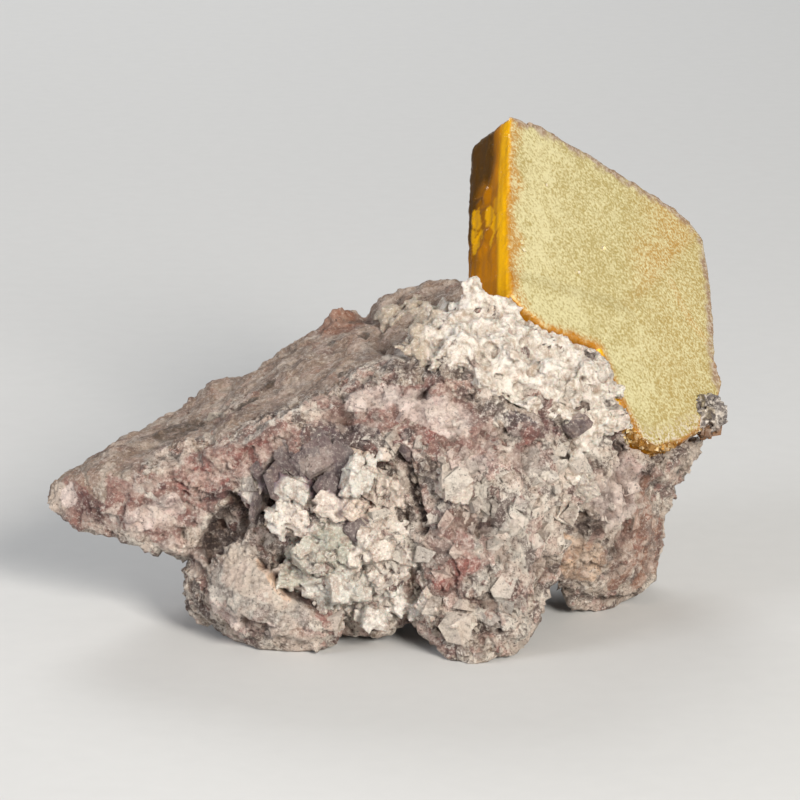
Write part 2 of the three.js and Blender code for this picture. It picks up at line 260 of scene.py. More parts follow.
def skinned(parts, voxel, finer=None):
    """One closed skin of even triangles round several solids. Slits narrower than the voxel close up.
    The faces that finer picks, from their middles in mm and their normals, are cut in four."""
    source = bpy.data.objects.new("source", mesh_of("source", *joined(parts)))
    bpy.context.scene.collection.objects.link(source)
    remesh = source.modifiers.new("skin", "REMESH")
    remesh.mode = "VOXEL"
    remesh.voxel_size = voxel * MM
    graph = bpy.context.evaluated_depsgraph_get()
    skin = bpy.data.meshes.new_from_object(source.evaluated_get(graph))
    bpy.data.objects.remove(source)
    shape = bmesh.new()
    shape.from_mesh(skin)
    bpy.data.meshes.remove(skin)
    if finer:
        shape.normal_update()
        middles = np.array([face.calc_center_median() for face in shape.faces]) / MM
        picked = finer(middles, np.array([face.normal for face in shape.faces]))
        edges = list({edge for face, yes in zip(shape.faces, picked) if yes for edge in face.edges})
        bmesh.ops.subdivide_edges(shape, edges=edges, cuts=1, use_grid_fill=True)
    bmesh.ops.triangulate(shape, faces=shape.faces)
    points = np.array([v.co for v in shape.verts]) / MM
    faces = np.array([[v.index for v in face.verts] for face in shape.faces])
    shape.free()
    return points, faces


def normals_of(points, faces):
    corners = points[faces]
    face_normals = np.cross(corners[:, 1] - corners[:, 0], corners[:, 2] - corners[:, 0])
    total = np.zeros_like(points)
    for k in range(3):
        for axis in range(3):
            total[:, axis] += np.bincount(faces[:, k], face_normals[:, axis], len(points))
    return total / np.maximum(np.linalg.norm(total, axis=1, keepdims=True), 1e-12)


def relaxed(points, faces, rounds):
    """Each point moved half-way to the middle of its neighbours, so many times."""
    ends = np.concatenate([faces[:, [0, 1]], faces[:, [1, 2]], faces[:, [2, 0]]])
    count = np.maximum(np.bincount(ends[:, 0], minlength=len(points)), 1.0)
    for _ in range(rounds):
        sums = [np.bincount(ends[:, 0], points[ends[:, 1], axis], len(points)) for axis in range(3)]
        points = points + 0.5 * (np.stack(sums, axis=1) / count[:, None] - points)
    return points


def swollen(solid, by):
    """A solid grown by so many mm along its normals."""
    points, faces = solid
    return points + by * normals_of(points, faces), faces


def raised(points, normals, height):
    """Points moved out along their normals, each by its own height in mm."""
    return points + height[:, None] * normals


def above_floor(points):
    """The same points, with those under the floor lifted onto it."""
    points[:, 2] = np.maximum(points[:, 2], 0.0)
    return points


def crevice(points, faces, rounds, depth):
    """1 in dents and joints of a surface and 0 on its knobs, from how far smoothing lifts a point."""
    lift = ((relaxed(points, faces, rounds) - points) * normals_of(points, faces)).sum(axis=1)
    return eased(lift, 0.0, depth)


def near(points, solid, reach):
    """For each point: 1 on a solid or inside it, falling to 0 at reach mm outside."""
    tree = BVHTree.FromPolygons([Vector(p) for p in solid[0]], [tuple(f) for f in solid[1].tolist()])
    low = solid[0].min(axis=0) - reach
    high = solid[0].max(axis=0) + reach
    held = np.zeros(len(points))
    for i in np.flatnonzero(((points > low) & (points < high)).all(axis=1)):
        place, normal, _, distance = tree.find_nearest(Vector(points[i]))
        inside = (Vector(points[i]) - place).dot(normal) < 0.0
        held[i] = 1.0 if inside else max(0.0, 1.0 - distance / reach)
    return held


def make_piece(name, points, faces, material, stands_for=(), masks=None, smooth=True):
    """A piece of the specimen: rides on the one body and stands for the CAD nodes that it is named with."""
    mesh = mesh_of(name, points, faces)
    for key, values in (masks or {}).items():
        layer = mesh.attributes.new(key, "FLOAT", "POINT")
        layer.data.foreach_set("value", np.asarray(values, np.float32))
    mesh.polygons.foreach_set("use_smooth", np.full(len(mesh.polygons), smooth))
    mesh.materials.append(material)
    mesh.update()
    piece = bpy.data.objects.new(name, mesh)
    bpy.context.scene.collection.objects.link(piece)
    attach(piece, "root")
    if stands_for:
        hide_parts(*stands_for)


# ---------------------------------------------------------------------------------------------
# Rhombs, the cleavage shape of calcite, and how many small ones are strewn
# ---------------------------------------------------------------------------------------------
RHOMB_SHEAR = 0.11
RHOMB_CORNERS = (CUBE - 0.5) - RHOMB_SHEAR * ((CUBE - 0.5).sum(axis=1, keepdims=True) - (CUBE - 0.5))
RHOMB_FACES = np.array([(0, 1, 3, 2), (4, 6, 7, 5), (0, 4, 5, 1), (2, 3, 7, 6), (0, 2, 6, 4), (1, 5, 7, 3)])
RHOMB_TRIANGLES = np.concatenate([RHOMB_FACES[:, [0, 1, 2]], RHOMB_FACES[:, [0, 2, 3]]])


def turned(degrees):
    return np.array(Euler([math.radians(a) for a in degrees]).to_matrix())


def random_turns(count, rng):
    return np.array([turned(rng.uniform(-180.0, 180.0, 3)) for _ in range(count)])


def clustered_turns(places, size, salt, jitter, rng):
    """A turn for each place, nearly the same for all places in one cell, as in a grain that broke up."""
    _, own, _ = chips(places, size, salt)
    return np.array([turned(own[i] * 360.0 + rng.uniform(-jitter, jitter, 3)) for i in range(len(places))])


def mostly_small(least, extra, power, count, rng):
    """count numbers from least to extra more. The higher the power, the fewer are large."""
    return least + extra * rng.random(count) ** power


def uneven(edges, low, high, rng):
    """Three edge lengths for each rhomb, each from low to high times its size."""
    return edges[:, None] * rng.uniform(low, high, (len(edges), 3))


def per_corner(values):
    """A value for each rhomb, repeated for each of its corners."""
    return np.repeat(values, len(CUBE))


def rhombs(places, sizes, turns):
    """Many rhombs in one mesh. Each has three edge lengths in mm and a turn as a 3x3 matrix."""
    corners = RHOMB_CORNERS[None] * sizes[:, None, :]
    points = np.einsum("nij,nkj->nki", turns, corners) + places[:, None, :]
    faces = RHOMB_TRIANGLES[None] + len(CUBE) * np.arange(len(places))[:, None, None]
    return points.reshape(-1, 3), faces.reshape(-1, 3)


def shards(places, sizes, turns, jitter, rng):
    """Rhombs with every corner knocked off its place by up to jitter of their size."""
    points, faces = rhombs(places, sizes, turns)
    reach = per_corner(np.mean(sizes, axis=1))[:, None]
    return points + jitter * reach * rng.uniform(-1.0, 1.0, points.shape), faces


def terraced(at, edges, turn, rng, steps, jitter=0.04, spread=0.3):
    """A cleaved crystal: one rhomb with smaller ones in line with it, which make its steps and ledges."""
    frame_turn = turned(turn)
    edges = np.array(edges)
    local = rng.uniform(-spread, spread, (steps, 3))
    local[0] = 0.0
    sizes = edges * rng.uniform(1.1 - 2.0 * spread, 1.1 - spread, (steps, 3))
    sizes[0] = (1.25 - spread) * edges
    places = np.array(at) + (local * edges) @ frame_turn.T
    return shards(places, sizes, np.repeat(frame_turn[None], steps, axis=0), jitter, rng)


def scattered(points, faces, ground, count, rng):
    """count places on a surface, picked by the weight of the ground there, with their normals."""
    corners = points[faces]
    area = np.linalg.norm(np.cross(corners[:, 1] - corners[:, 0], corners[:, 2] - corners[:, 0]), axis=1)
    weight = area * ground[faces].mean(axis=1)
    picked = rng.choice(len(faces), size=count, p=weight / weight.sum())
    shares = rng.dirichlet((1.0, 1.0, 1.0), size=count)
    places = (corners[picked] * shares[:, :, None]).sum(axis=1)
    return places, normals_of(points, faces)[faces[picked, 0]]


def strewn(route, count, rng):
    """count places strewn along a route of places."""
    route = np.array(route)
    start = rng.integers(0, len(route) - 1, count)
    share = rng.random(count)[:, None]
    return (1.0 - share) * route[start] + share * route[start + 1]


# ---------------------------------------------------------------------------------------------
# Materials
# ---------------------------------------------------------------------------------------------
MIX = {"data_type": "RGBA"}
MIX_DARKER = {"data_type": "RGBA", "blend_type": "MULTIPLY"}
SMOOTH_RANGE = {"interpolation_type": "SMOOTHSTEP"}
TIMES = {"operation": "MULTIPLY"}
TIMES_PLUS = {"operation": "MULTIPLY_ADD"}
CELLS = {"feature": "F1"}


class Finish:
    """A node material. Its patterns lie in millimetres, so a scale is how many of a pattern fit in one."""

    def __init__(self, name):
        self.material = bpy.data.materials.new(name)
        self.material.use_nodes = True
        self.tree = self.material.node_tree
        self.tree.nodes.clear()
        self.output = self.add("ShaderNodeOutputMaterial")
        metres = self.add("ShaderNodeTexCoord").outputs["Object"]
        scale = {"operation": "SCALE"}
        self.place = self.add("ShaderNodeVectorMath", scale, i0=metres, Scale=1.0 / MM).outputs[0]

    def add(self, kind, settings=None, **sockets):
        """Puts in a node with its own settings and its links, and returns it. A socket is given by name, or
        by i and its number, and gets a value or a link from an output."""
        node = self.tree.nodes.new(kind)
        for key, value in (settings or {}).items():
            setattr(node, key, value)
        for key, value in sockets.items():
            numbered = key[0] == "i" and key[1:].isdigit()
            socket = node.inputs[int(key[1:]) if numbered else key.replace("_", " ")]
            if isinstance(value, bpy.types.NodeSocket):
                self.tree.links.new(value, socket)
            else:
                socket.default_value = value
        return node

    def coated(self, colour, coats, through=None):
        """A colour with coats laid over it in turn. A coat is what drives it, a mask's name or a pattern, its
        sRGB colour and, where it sets in softly, from where to where and how strongly it covers at most.
        through thins all of them where it is under 1."""
        for driver, code, *ramp in coats:
            amount = driver
            if isinstance(driver, str):
                amount = self.add("ShaderNodeAttribute", {"attribute_name": driver}).outputs["Fac"]
            if ramp:
                low, high, cover = ramp
                ranged = self.add("ShaderNodeMapRange", SMOOTH_RANGE, i0=amount, i1=low, i2=high, i4=cover)
                amount = ranged.outputs[0]
            if through is not None:
                amount = self.add("ShaderNodeMath", TIMES, i0=amount, i1=through).outputs[0]
            colour = self.add("ShaderNodeMix", MIX, i0=amount, i6=colour, i7=srgb(code)).outputs[2]
        return colour

    def finish(self, shader, volume=None):
        self.tree.links.new(shader.outputs[0], self.output.inputs["Surface"])
        if volume:
            self.tree.links.new(volume.outputs[0], self.output.inputs["Volume"])
        return self.material


def painted_floor():
    """Matt white paint, rolled: an even pale ground with the faintest unevenness."""
    f = Finish("rolled matt white paint")
    grain = f.add("ShaderNodeTexNoise", Vector=f.place, Scale=0.4, Detail=4.0).outputs["Fac"]
    colour = f.coated(srgb("#cdcdcc"), [(grain, "#d2d2d1")])
    return f.finish(f.add("ShaderNodeBsdfPrincipled", Base_Color=colour, Roughness=0.75, IOR=1.45))


# A stain's name, its sRGB colour, and how strongly it covers what is under it.
STAIN_COLOURS = [
    ("weathered", "#957a66", 0.8), ("grey_calcite", "#bab4ab", 0.8), ("pink_clay", "#91635a", 0.8),
    ("purple_slate", "#5a4b4f", 0.9), ("maroon", "#5e3836", 0.85), ("red_ochre", "#9b5a50", 0.75),
    ("cream_calcite", "#ebe2d6", 0.85), ("tan_calcite", "#decdbc", 0.8), ("brown_schist", "#98674f", 0.85),
    # The last colour here is no stain but painted shade, for the rock's cavities, its crack and the gap
    # beside the plate.
    ("rose_calcite", "#ecd8cf", 0.85), ("iron_orange", "#ebc6a6", 0.8), ("cavity_shade", "#4f403b", 0.9),
]
# Which of a fragment's random numbers tints it, the colour, from where to where it sets in, and how strongly.
FRAGMENT_COLOURS = [
    (0, "#dcd2c5", 0.56, 0.7, 0.7), (1, "#5f4e49", 0.66, 0.8, 0.65), (2, "#b0796e", 0.66, 0.8, 0.5),
]


def stained_limestone():
    """Limestone, broken: dull and grainy, with clay and iron stains soaked into it and calcite grains."""
    f = Finish("broken stained limestone")
    clouds = f.add("ShaderNodeTexNoise", Vector=f.place, Scale=1.3, Detail=10.0, Roughness=0.72)
    ragged = clouds.outputs["Fac"]
    bent = f.add("ShaderNodeVectorMath", TIMES_PLUS, i0=clouds.outputs["Color"], i1=(1.5, 1.5, 1.5),
                 i2=f.place).outputs[0]
    fuzz = f.add("ShaderNodeTexNoise", Vector=f.place, Scale=2.8, Detail=8.0, Roughness=0.78).outputs["Fac"]
    broad = f.add("ShaderNodeTexNoise", Vector=f.place, Scale=0.42, Detail=6.0, Roughness=0.62).outputs["Fac"]
    fragment = f.add("ShaderNodeTexVoronoi", CELLS, Vector=bent, Scale=0.9)
    fragment_own = f.add("ShaderNodeSeparateColor", i0=fragment.outputs["Color"]).outputs
    pit = f.add("ShaderNodeTexVoronoi", CELLS, Vector=bent, Scale=2.8)
    pit_own = f.add("ShaderNodeSeparateColor", i0=pit.outputs["Color"]).outputs
    soak = f.add("ShaderNodeMath", TIMES_PLUS, i0=ragged, i1=3.4, i2=-0.7).outputs[0]
    granular = f.add("ShaderNodeAttribute", {"attribute_name": "granular"}).outputs["Fac"]
    speckled = f.add("ShaderNodeMath", TIMES_PLUS, i0=granular, i1=0.8, i2=0.2).outputs[0]
    pitted = f.add("ShaderNodeMath", {"operation": "GREATER_THAN"}, i0=pit_own[0], i1=0.66).outputs[0]

    def soaked(name):
        mask = f.add("ShaderNodeAttribute", {"attribute_name": name}).outputs["Fac"]
        return f.add("ShaderNodeMath", TIMES, i0=mask, i1=soak).outputs[0]

    ground = f.add("ShaderNodeMapRange", i0=ragged, i1=0.36, i2=0.64).outputs[0]
    colour = f.coated(srgb("#917c69"), [(ground, "#d6c8ba")])
    stains = [(soaked(name), code, 0.25, 0.8, cover) for name, code, cover in STAIN_COLOURS]
    colour = f.coated(colour, stains)
    fragments = [(fragment_own[channel], *tint) for channel, *tint in FRAGMENT_COLOURS]
    colour = f.coated(colour, fragments, through=granular)
    colour = f.coated(colour, [("lift", "#ddd4c7")])
    specks = [(broad, "#d8c4b5", 0.51, 0.58, 0.7), (broad, "#604b46", 0.485, 0.41, 0.7),
              (fuzz, "#ede4d9", 0.51, 0.6, 0.8), (fuzz, "#433430", 0.47, 0.38, 0.85)]
    colour = f.coated(colour, specks, through=speckled)
    colour = f.coated(colour, [(soaked("dark_moss"), "#4a3a2b", 0.25, 1.35, 0.9)])
    colour = f.coated(colour, [(pit.outputs["Distance"], "#43342f", 0.34, 0.12, 0.8)], through=pitted)
    # Painted shade: the colour is multiplied darker in the rock's dents.
    hollow = f.add("ShaderNodeAttribute", {"attribute_name": "hollow"}).outputs["Fac"]
    colour = f.add("ShaderNodeMix", MIX_DARKER, i0=hollow, i6=colour, i7=srgb("#8d7c74")).outputs[2]
    coarse = f.add("ShaderNodeBump", Height=ragged, Strength=1.0, Distance=0.55 * MM)
    fine = f.add("ShaderNodeBump", Height=fuzz, Strength=0.9, Distance=0.22 * MM, Normal=coarse.outputs[0])
    gloss = f.add("ShaderNodeMapRange", i0=pit_own[1], i1=0.9, i2=0.93, i3=0.82, i4=0.3)
    return f.finish(f.add("ShaderNodeBsdfPrincipled", Base_Color=colour, Roughness=gloss.outputs[0], IOR=1.56,
                          Normal=fine.outputs[0]))


def cleaved_calcite():
    """Calcite, cleaved: pale cream to greenish blocks with a soft pearly shine, dark slate in some joints,
    and painted shade in the joints and dents.
    """
    f = Finish("cleaved milky calcite")
    cloud = f.add("ShaderNodeTexNoise", Vector=f.place, Scale=0.9, Detail=8.0, Roughness=0.7).outputs["Fac"]
    fuzz = f.add("ShaderNodeTexNoise", Vector=f.place, Scale=4.5, Detail=6.0, Roughness=0.8).outputs["Fac"]
    colour = f.coated(srgb("#c4beb6"), [
        ("tint", "#999789"), ("warmth", "#bca694"), (cloud, "#8f7a6c", 0.48, 0.6, 0.7),
        (fuzz, "#efe9df", 0.52, 0.66, 0.65), (fuzz, "#655a53", 0.46, 0.34, 0.8),
        ("slate", "#665559"), ("hollow", "#5b4c4b"),
    ])
    bump = f.add("ShaderNodeBump", Height=cloud, Strength=0.6, Distance=0.25 * MM)
    fine = f.add("ShaderNodeBump", Height=fuzz, Strength=0.6, Distance=0.12 * MM, Normal=bump.outputs[0])
    return f.finish(f.add("ShaderNodeBsdfPrincipled", Base_Color=colour, Roughness=0.42, IOR=1.58,
                          Subsurface_Weight=0.12, Subsurface_Scale=0.4 * MM, Normal=fine.outputs[0]))


def calcite_crust_finish():
    """Calcite grown as a knobby crust: nearly white and matt, with ochre dirt and painted shade in its pits.
    """
    f = Finish("knobby white calcite crust")
    cloud = f.add("ShaderNodeTexNoise", Vector=f.place, Scale=1.1, Detail=9.0, Roughness=0.72).outputs["Fac"]
    fuzz = f.add("ShaderNodeTexNoise", Vector=f.place, Scale=4.5, Detail=6.0, Roughness=0.8).outputs["Fac"]
    colour = f.coated(srgb("#ae9a87"), [
        (cloud, "#e9e2d8", 0.34, 0.6, 1.0), ("aged", "#b3a390"), (fuzz, "#f2ede3", 0.5, 0.66, 0.7),
        (fuzz, "#84705f", 0.44, 0.32, 0.7), ("hollow", "#705845"),
    ])
    bump = f.add("ShaderNodeBump", Height=cloud, Strength=0.9, Distance=0.4 * MM)
    fine = f.add("ShaderNodeBump", Height=fuzz, Strength=0.8, Distance=0.16 * MM, Normal=bump.outputs[0])
    return f.finish(f.add("ShaderNodeBsdfPrincipled", Base_Color=colour, Roughness=0.62, IOR=1.56,
                          Subsurface_Weight=0.1, Subsurface_Scale=0.5 * MM, Normal=fine.outputs[0]))


def honey_wulfenite():
    """Wulfenite, as grown: glassy honey-amber sides, and broad faces frosted by fine pale-yellow grains."""
    f = Finish("honey wulfenite with frosted faces")
    frost = f.add("ShaderNodeAttribute", {"attribute_name": "frost"}).outputs["Fac"]
    bloom = f.add("ShaderNodeAttribute", {"attribute_name": "bloom"}).outputs["Fac"]
    sparkle = f.add("ShaderNodeAttribute", {"attribute_name": "sparkle"}).outputs["Fac"]
    grain = f.add("ShaderNodeTexNoise", Vector=f.place, Scale=4.0, Detail=3.0, Roughness=0.55).outputs["Fac"]
    flocks = f.add("ShaderNodeTexNoise", Vector=f.place, Scale=0.9, Detail=6.0, Roughness=0.7).outputs["Fac"]
    cells = f.add("ShaderNodeTexVoronoi", CELLS, Vector=f.place, Scale=5.0)
    own = f.add("ShaderNodeSeparateColor", i0=cells.outputs["Color"]).outputs
    density = grain
    for pattern, share in ((own[0], 0.16), (bloom, 0.08), (flocks, 0.4)):
        density = f.add("ShaderNodeMath", TIMES_PLUS, i0=pattern, i1=share, i2=density).outputs[0]
    # In the glass colour the bright yellow is painted glow and highlights, and the deep brown also carries
    # painted shade.
    glass = f.coated(srgb("#c47c04"), [("depth", "#4c2f01"), ("painted_glow", "#ffbe0a"),
                                       (grain, "#b0822a", 0.6, 0.72, 0.3)])
    face = f.coated(srgb("#b5a56a"), [("amber", "#c28f46"), (density, "#e6dfb0", 0.58, 0.96, 1.0),
                                      ("dust", "#9c8070")])
    # Painted glints: small random cells of the face turned near-white where sparkle lies.
    flash = f.add("ShaderNodeMapRange", i0=own[1], i1=0.55, i2=0.6).outputs[0]
    face = f.coated(face, [(flash, "#e9e0cf")], through=sparkle)
    colour = f.add("ShaderNodeMix", MIX, i0=frost, i6=glass, i7=face).outputs[2]
    bump = f.add("ShaderNodeBump", Height=density, Strength=0.5, Distance=0.08 * MM)
    rough = f.add("ShaderNodeMapRange", i0=frost, i3=0.12, i4=0.5).outputs[0]
    clear = f.add("ShaderNodeMapRange", i0=frost, i3=0.36, i4=0.3).outputs[0]
    shader = f.add("ShaderNodeBsdfPrincipled", Base_Color=colour, Roughness=rough, IOR=2.35,
                   Transmission_Weight=clear, Normal=bump.outputs[0], Specular_IOR_Level=0.04,
                   Specular_Tint=srgb("#ffc766"))
    depths = f.add("ShaderNodeVolumeAbsorption", Color=(0.985, 0.84, 0.02, 1.0), Density=1100.0)
    return f.finish(shader, depths)


def dark_druse_finish():
    """Small dark crystals, as grown: glossy near-black faces that catch the light, pale grey patches painted
    on as soft highlights, brown at the foot.
    """
    f = Finish("dark glossy druse")
    cloud = f.add("ShaderNodeTexNoise", Vector=f.place, Scale=2.0, Detail=3.0).outputs["Fac"]
    # Painted highlights: pale grey patches laid over the near-black colour.
    colour = f.coated(srgb("#5f5754"), [(cloud, "#bdb5ac", 0.42, 0.66, 1.0), ("tint", "#6f4a26")])
    bump = f.add("ShaderNodeBump", Height=cloud, Strength=0.3, Distance=0.05 * MM)
    return f.finish(f.add("ShaderNodeBsdfPrincipled", Base_Color=colour, Roughness=0.24, IOR=1.8,
                          Normal=bump.outputs[0]))


# ---------------------------------------------------------------------------------------------
# Where the host rock's stains and textures lie: balls (centre, radius) and bars (end, end, radius), mm
# ---------------------------------------------------------------------------------------------
STAINS = {
    "weathered": [((-28, -10, 15.5), (-8, -9, 23), 7.0), ((-22, -4, 17), (-4, 0, 26), 9.0),
                  ((-2, -6, 25.5), (4, 0, 29.5), 6.0), ((-16, 3, 16), (0, 8, 20), 12.0)],
    "dark_moss": [((-20.2, -8, 17.6), (-18.4, -7.3, 18.2), 2.2),
                  ((-13.8, -8.3, 20.3), (-12.4, -7.5, 20.8), 0.9),
                  ((-11, -5.5, 22), 1.0), ((-11.6, -15.5, 21.1), 0.9), ((-4.3, -11, 24.1), 0.8),
                  ((-5.5, -2, 25), 0.9), ((-2.4, -3.1, 25.7), 0.8), ((-3.2, 3, 26), 0.9),
                  ((3.5, -10.5, 26), 1.2)],
    "pink_clay": [((-20, -15, 13.5), (-15.5, -17, 16.5), 3.2), ((-15.5, -17, 16.5), (-9, -18.5, 19.8), 2.2),
                  ((-24, -14, 13), (-21, -15, 11), 2.6), ((-4.5, -17, 22), (4, -17, 22.5), 2.8),
                  ((4, -17, 22), (7, -19, 19.5), 3.4), ((6, -21.5, 12.5), (5, -21.5, 8.5), 2.8),
                  ((22.5, -9, 14), (21, -11, 11), 1.8), ((12.5, -18, 18), 2.2), ((-29, -12, 12), 3.0)],
    "red_ochre": [((-18, -16, 15), (-11.5, -18, 18.6), 1.4), ((-19, -16, 12), 1.3), ((3.5, -19, 20.5), 1.4),
                  ((6.5, -20.5, 18), 1.2), ((7, -22, 9.5), (4.5, -21, 7.5), 1.2), ((12.5, -17.5, 20), 1.0),
                  ((-4.5, -17.5, 3), (-6, -20, 4), 0.9)],
    "maroon": [((-28, -13, 12.3), (-26, -13.5, 11.4), 1.6), ((-17.5, -15, 8), 1.6),
               ((-20.5, -15.5, 15.2), 1.0), ((-23.5, -14.5, 13.6), 0.9), ((8.5, -21, 12.5), 1.0),
               ((3.5, -16, 23.5), 1.0), ((-18.5, -16, 13), (-15, -17, 15), 1.0), ((-12, -17.5, 18), 0.9),
               # The bar from (11, -18.5, 20.6), just under the crust, is partly dark streaks and partly
               # painted shadow of the crust.
               ((8, -21.5, 9), 0.8), ((11, -18.5, 20.6), (14.5, -16.5, 20.4), 0.9),
               ((5, -20.5, 17), (7.5, -21, 14.5), 0.8)],
    "brown_schist": [((23, -7.5, 8), (24.5, -4, 5), 4.0), ((22, -9, 5), (24, -6, 11), 3.0),
                     ((-5.5, 3.5, 26), (-4.5, 2, 25.5), 2.6)],
    "rose_calcite": [((22.5, -9, 14.5), (20.5, -11, 12), 3.2), ((-23, -14.5, 11.5), (-20, -15.5, 13), 1.5),
                     ((6, -20, 17), (9, -20, 18), 1.5), ((-29.5, -12, 13), 1.4),
                     ((-3, -17, 23), (0, -16.5, 23.5), 1.4), ((2.5, -16.5, 22.8), (6, -17.5, 21), 1.9),
                     ((-16, -18.5, 4), (-11, -20.5, 2.5), 1.6)],
    "purple_slate": [((-6, -18, 20), (-2, -18.6, 19.2), 1.9), ((-10.5, -18.5, 17.2), (-8, -19.5, 14.8), 1.6),
                     ((14, -16, 20), (18, -13.5, 19.5), 1.5), ((10, -19, 20.5), 1.2),
                     ((1.5, -18.5, 19.5), 1.4), ((-9, -19, 16), (-4, -19.5, 13.5), 2.8),
                     # The bar from (10.5, -18.5, 21.8), just under the crust, is partly dark streaks and
                     # partly painted shadow of the crust.
                     ((-12, -18, 15), (-12, -18.5, 12), 1.6), ((10.5, -18.5, 21.8), (17.5, -13.8, 20.2), 1.0),
                     ((7.5, -21, 7.5), (9.5, -21, 4.5), 1.2), ((3.5, -20.8, 13), (5, -21, 15), 1.1)],
    # The thin bar along the ridge, from (-13, -17.6, 19.8), is a pale streak and partly a painted highlight
    # on the ridge's edge.
    "cream_calcite": [((13, -12, 26), (20.5, -9.5, 20.5), 1.8), ((-13, -17.6, 19.8), (-2, -16.5, 24.2), 0.5),
                      ((21, -11, 14.5), (19.5, -12, 12), 1.5), ((-16.5, -18, 5.5), (-11, -20.5, 3), 1.0),
                      ((15.5, -16, 18), (17.5, -14.5, 14.5), 1.8),
                      ((1, -10, 27.5), (8, -13, 28.5), 3.2), ((8, -14, 27), (15, -12, 25), 3.6),
                      ((15, -12, 24), (18.5, -12, 22), 2.4), ((18.5, -12, 18), (20.5, -10.5, 18.5), 1.8),
                      ((15.5, -12.5, 10), (16.5, -15.5, 15), 2.0), ((0, -20, 14), (0, -20, 5), 2.0),
                      ((11.5, -20, 14.5), 2.2), ((10.3, -8.7, 30.6), (13.8, -8, 27), 1.8),
                      ((13.8, -8, 27), (18.6, -4.2, 24.3), 2.0),
                      ((18.6, -4.2, 24.3), (19.3, -5.4, 22.5), 1.8),
                      ((13.5, -17.5, 17.5), (15, -16, 10.5), 2.0), ((12, -19.5, 13), (12.5, -19.5, 8), 1.7),
                      ((18.3, -6.2, 25.2), (20.6, -7.3, 21.4), 1.7), ((-25, -13.5, 11.5), 0.9),
                      ((-22.5, -15, 14.8), (-19, -15, 12.6), 0.7), ((2.5, -20.5, 10), 1.0)],
    "grey_calcite": [((-14.5, -19.5, 6), (-10, -20.5, 5), 4.0), ((-5, -21, 11), (0, -20, 7), 3.6),
                     ((9, -21, 14), (10.5, -21.5, 6), 3.6), ((12, -20.5, 3), 2.5), ((0, -20, 3), 2.2)],
    "tan_calcite": [((-13.5, -18.5, 8), (-9.5, -20.5, 6.8), 2.4), ((25.5, -1.5, 13.5), (28.5, 4, 13.5), 3.0),
                    ((-30.5, -11.5, 12.5), 2.0), ((19, -12, 13), (22.5, -9, 11.5), 2.6)],
    "iron_orange": [((16.2, -12, 7.4), (18, -11, 6), 2.5), ((9.5, -18.5, 21), 0.9),
                    ((-12.2, -19, 9.4), (-9, -20.8, 5.8), 0.6)],
    # Dents whose dark colour is painted shade.
    "cavity_shade": [((-16, -15, 9), (-13.6, -16.6, 12.4), 1.7), ((1.0, -19, 18.6), (2.8, -20, 12.2), 1.0),
               ((16, -11, 3.2), 1.2), ((21, -8.5, 16.5), 1.2)],
}
# Stains of fine clay, which hide the rock's grain.
CLAYEY = ("pink_clay", "maroon", "red_ochre", "iron_orange", "brown_schist", "tan_calcite")
# Stains that lie in broad patches over the back.
BACK_STAINS = ("pink_clay", "cream_calcite", "tan_calcite", "maroon", "rose_calcite")
BACK_STARTS = (3.5, 9.0)  # from where to where towards the back they set in, mm
SHADED_GAP_BESIDE_PLATE = [((20.4, -9.6, 22.0), (22.2, -10.6, 18.8), 1.1)]  # the gap beside the plate that the crust leaves bare, darkened by painted shadow
SMOOTH_GROUND = [((-30, -9, 14), (-8, -9, 23), 6.0), ((-22, -4, 17), (-4, 0, 26), 9.0),
                 ((-2, -6, 26), (4, 2, 30), 6.0)]
WORN_LOBE = [((-14.5, -18.5, 6), (-9.5, -20.5, 5.5), 3.6)]
CRACK = [(-14.3, -17, 14.2), (-13, -17.5, 12), (-11.5, -19, 9), (-9, -20.5, 6.5), (-6, -20, 4.5),
         (-4.5, -17, 2)]
CRUST_GROUND = [((0.5, -1, 28.2), (4, -6, 28.8), 2.4), ((4, -8, 28.8), (5.5, -13, 27.8), 2.8),
                ((5, -13, 27.5), (9, -14, 28.5), 3.0), ((8, -10.5, 30), (12, -13, 28), 2.6),
                ((9, -15, 27.5), (15, -13, 24.5), 2.6), ((15, -12, 24.5), (19, -11, 23.5), 2.2),
                ((10, -17, 24.5), (9.5, -16, 27), 1.6), ((11.5, -11, 28.8), (17, -9.6, 26.2), 1.5),
                ((17, -9.6, 26.2), (20, -8.5, 22), 1.6), ((19, -11.5, 19.5), (17, -15, 16), 1.7),
                ((18.3, -6.2, 25.2), (20.2, -7.2, 22.4), 1.2)]
VEIN_GROUND = [((-8, -19, 15), (-2, -19, 17), 2.2), ((-8.5, -20, 12), (-1, -20, 12), 2.8),
               ((-7, -20, 8), (0, -19.5, 9), 2.8), ((-4, -20, 5.5), (0, -19, 4), 2.4)]
GRAIN_GROUND = [((3, -21, 16), (10, -20, 12), 5.0), ((5, -22, 9), (10, -21, 3), 5.0),
                ((-15, -19, 2.5), (-9, -20.5, 1.5), 1.2), ((-7, -18, 16), (-2, -20, 4), 4.5),
                ((-1, -19, 20), (8, -19, 19), 3.5), ((16, -14, 18), (14, -17, 12), 4.0),
                ((-1, -19, 2), 3.5), ((22, -9, 12), 3.0)]
DARK_JOINTS = [((-8, -18.5, 19), (-4.5, -19.5, 18), 2.2), ((-7, -19.5, 16.5), (-4.6, -20.3, 15), 2.0),
               ((-12, -18, 15), (-9, -19, 17.5), 2.2), ((-4.2, -20.2, 12.8), (-2.4, -20, 12.2), 1.2)]
FIBRES = [((8, -10.5, 30), (6.5, -15.5, 28), 1.7), ((7.5, -16, 25.5), (10, -15.5, 24.5), 1.4),
          ((12.5, -13.5, 25.5), 1.5)]

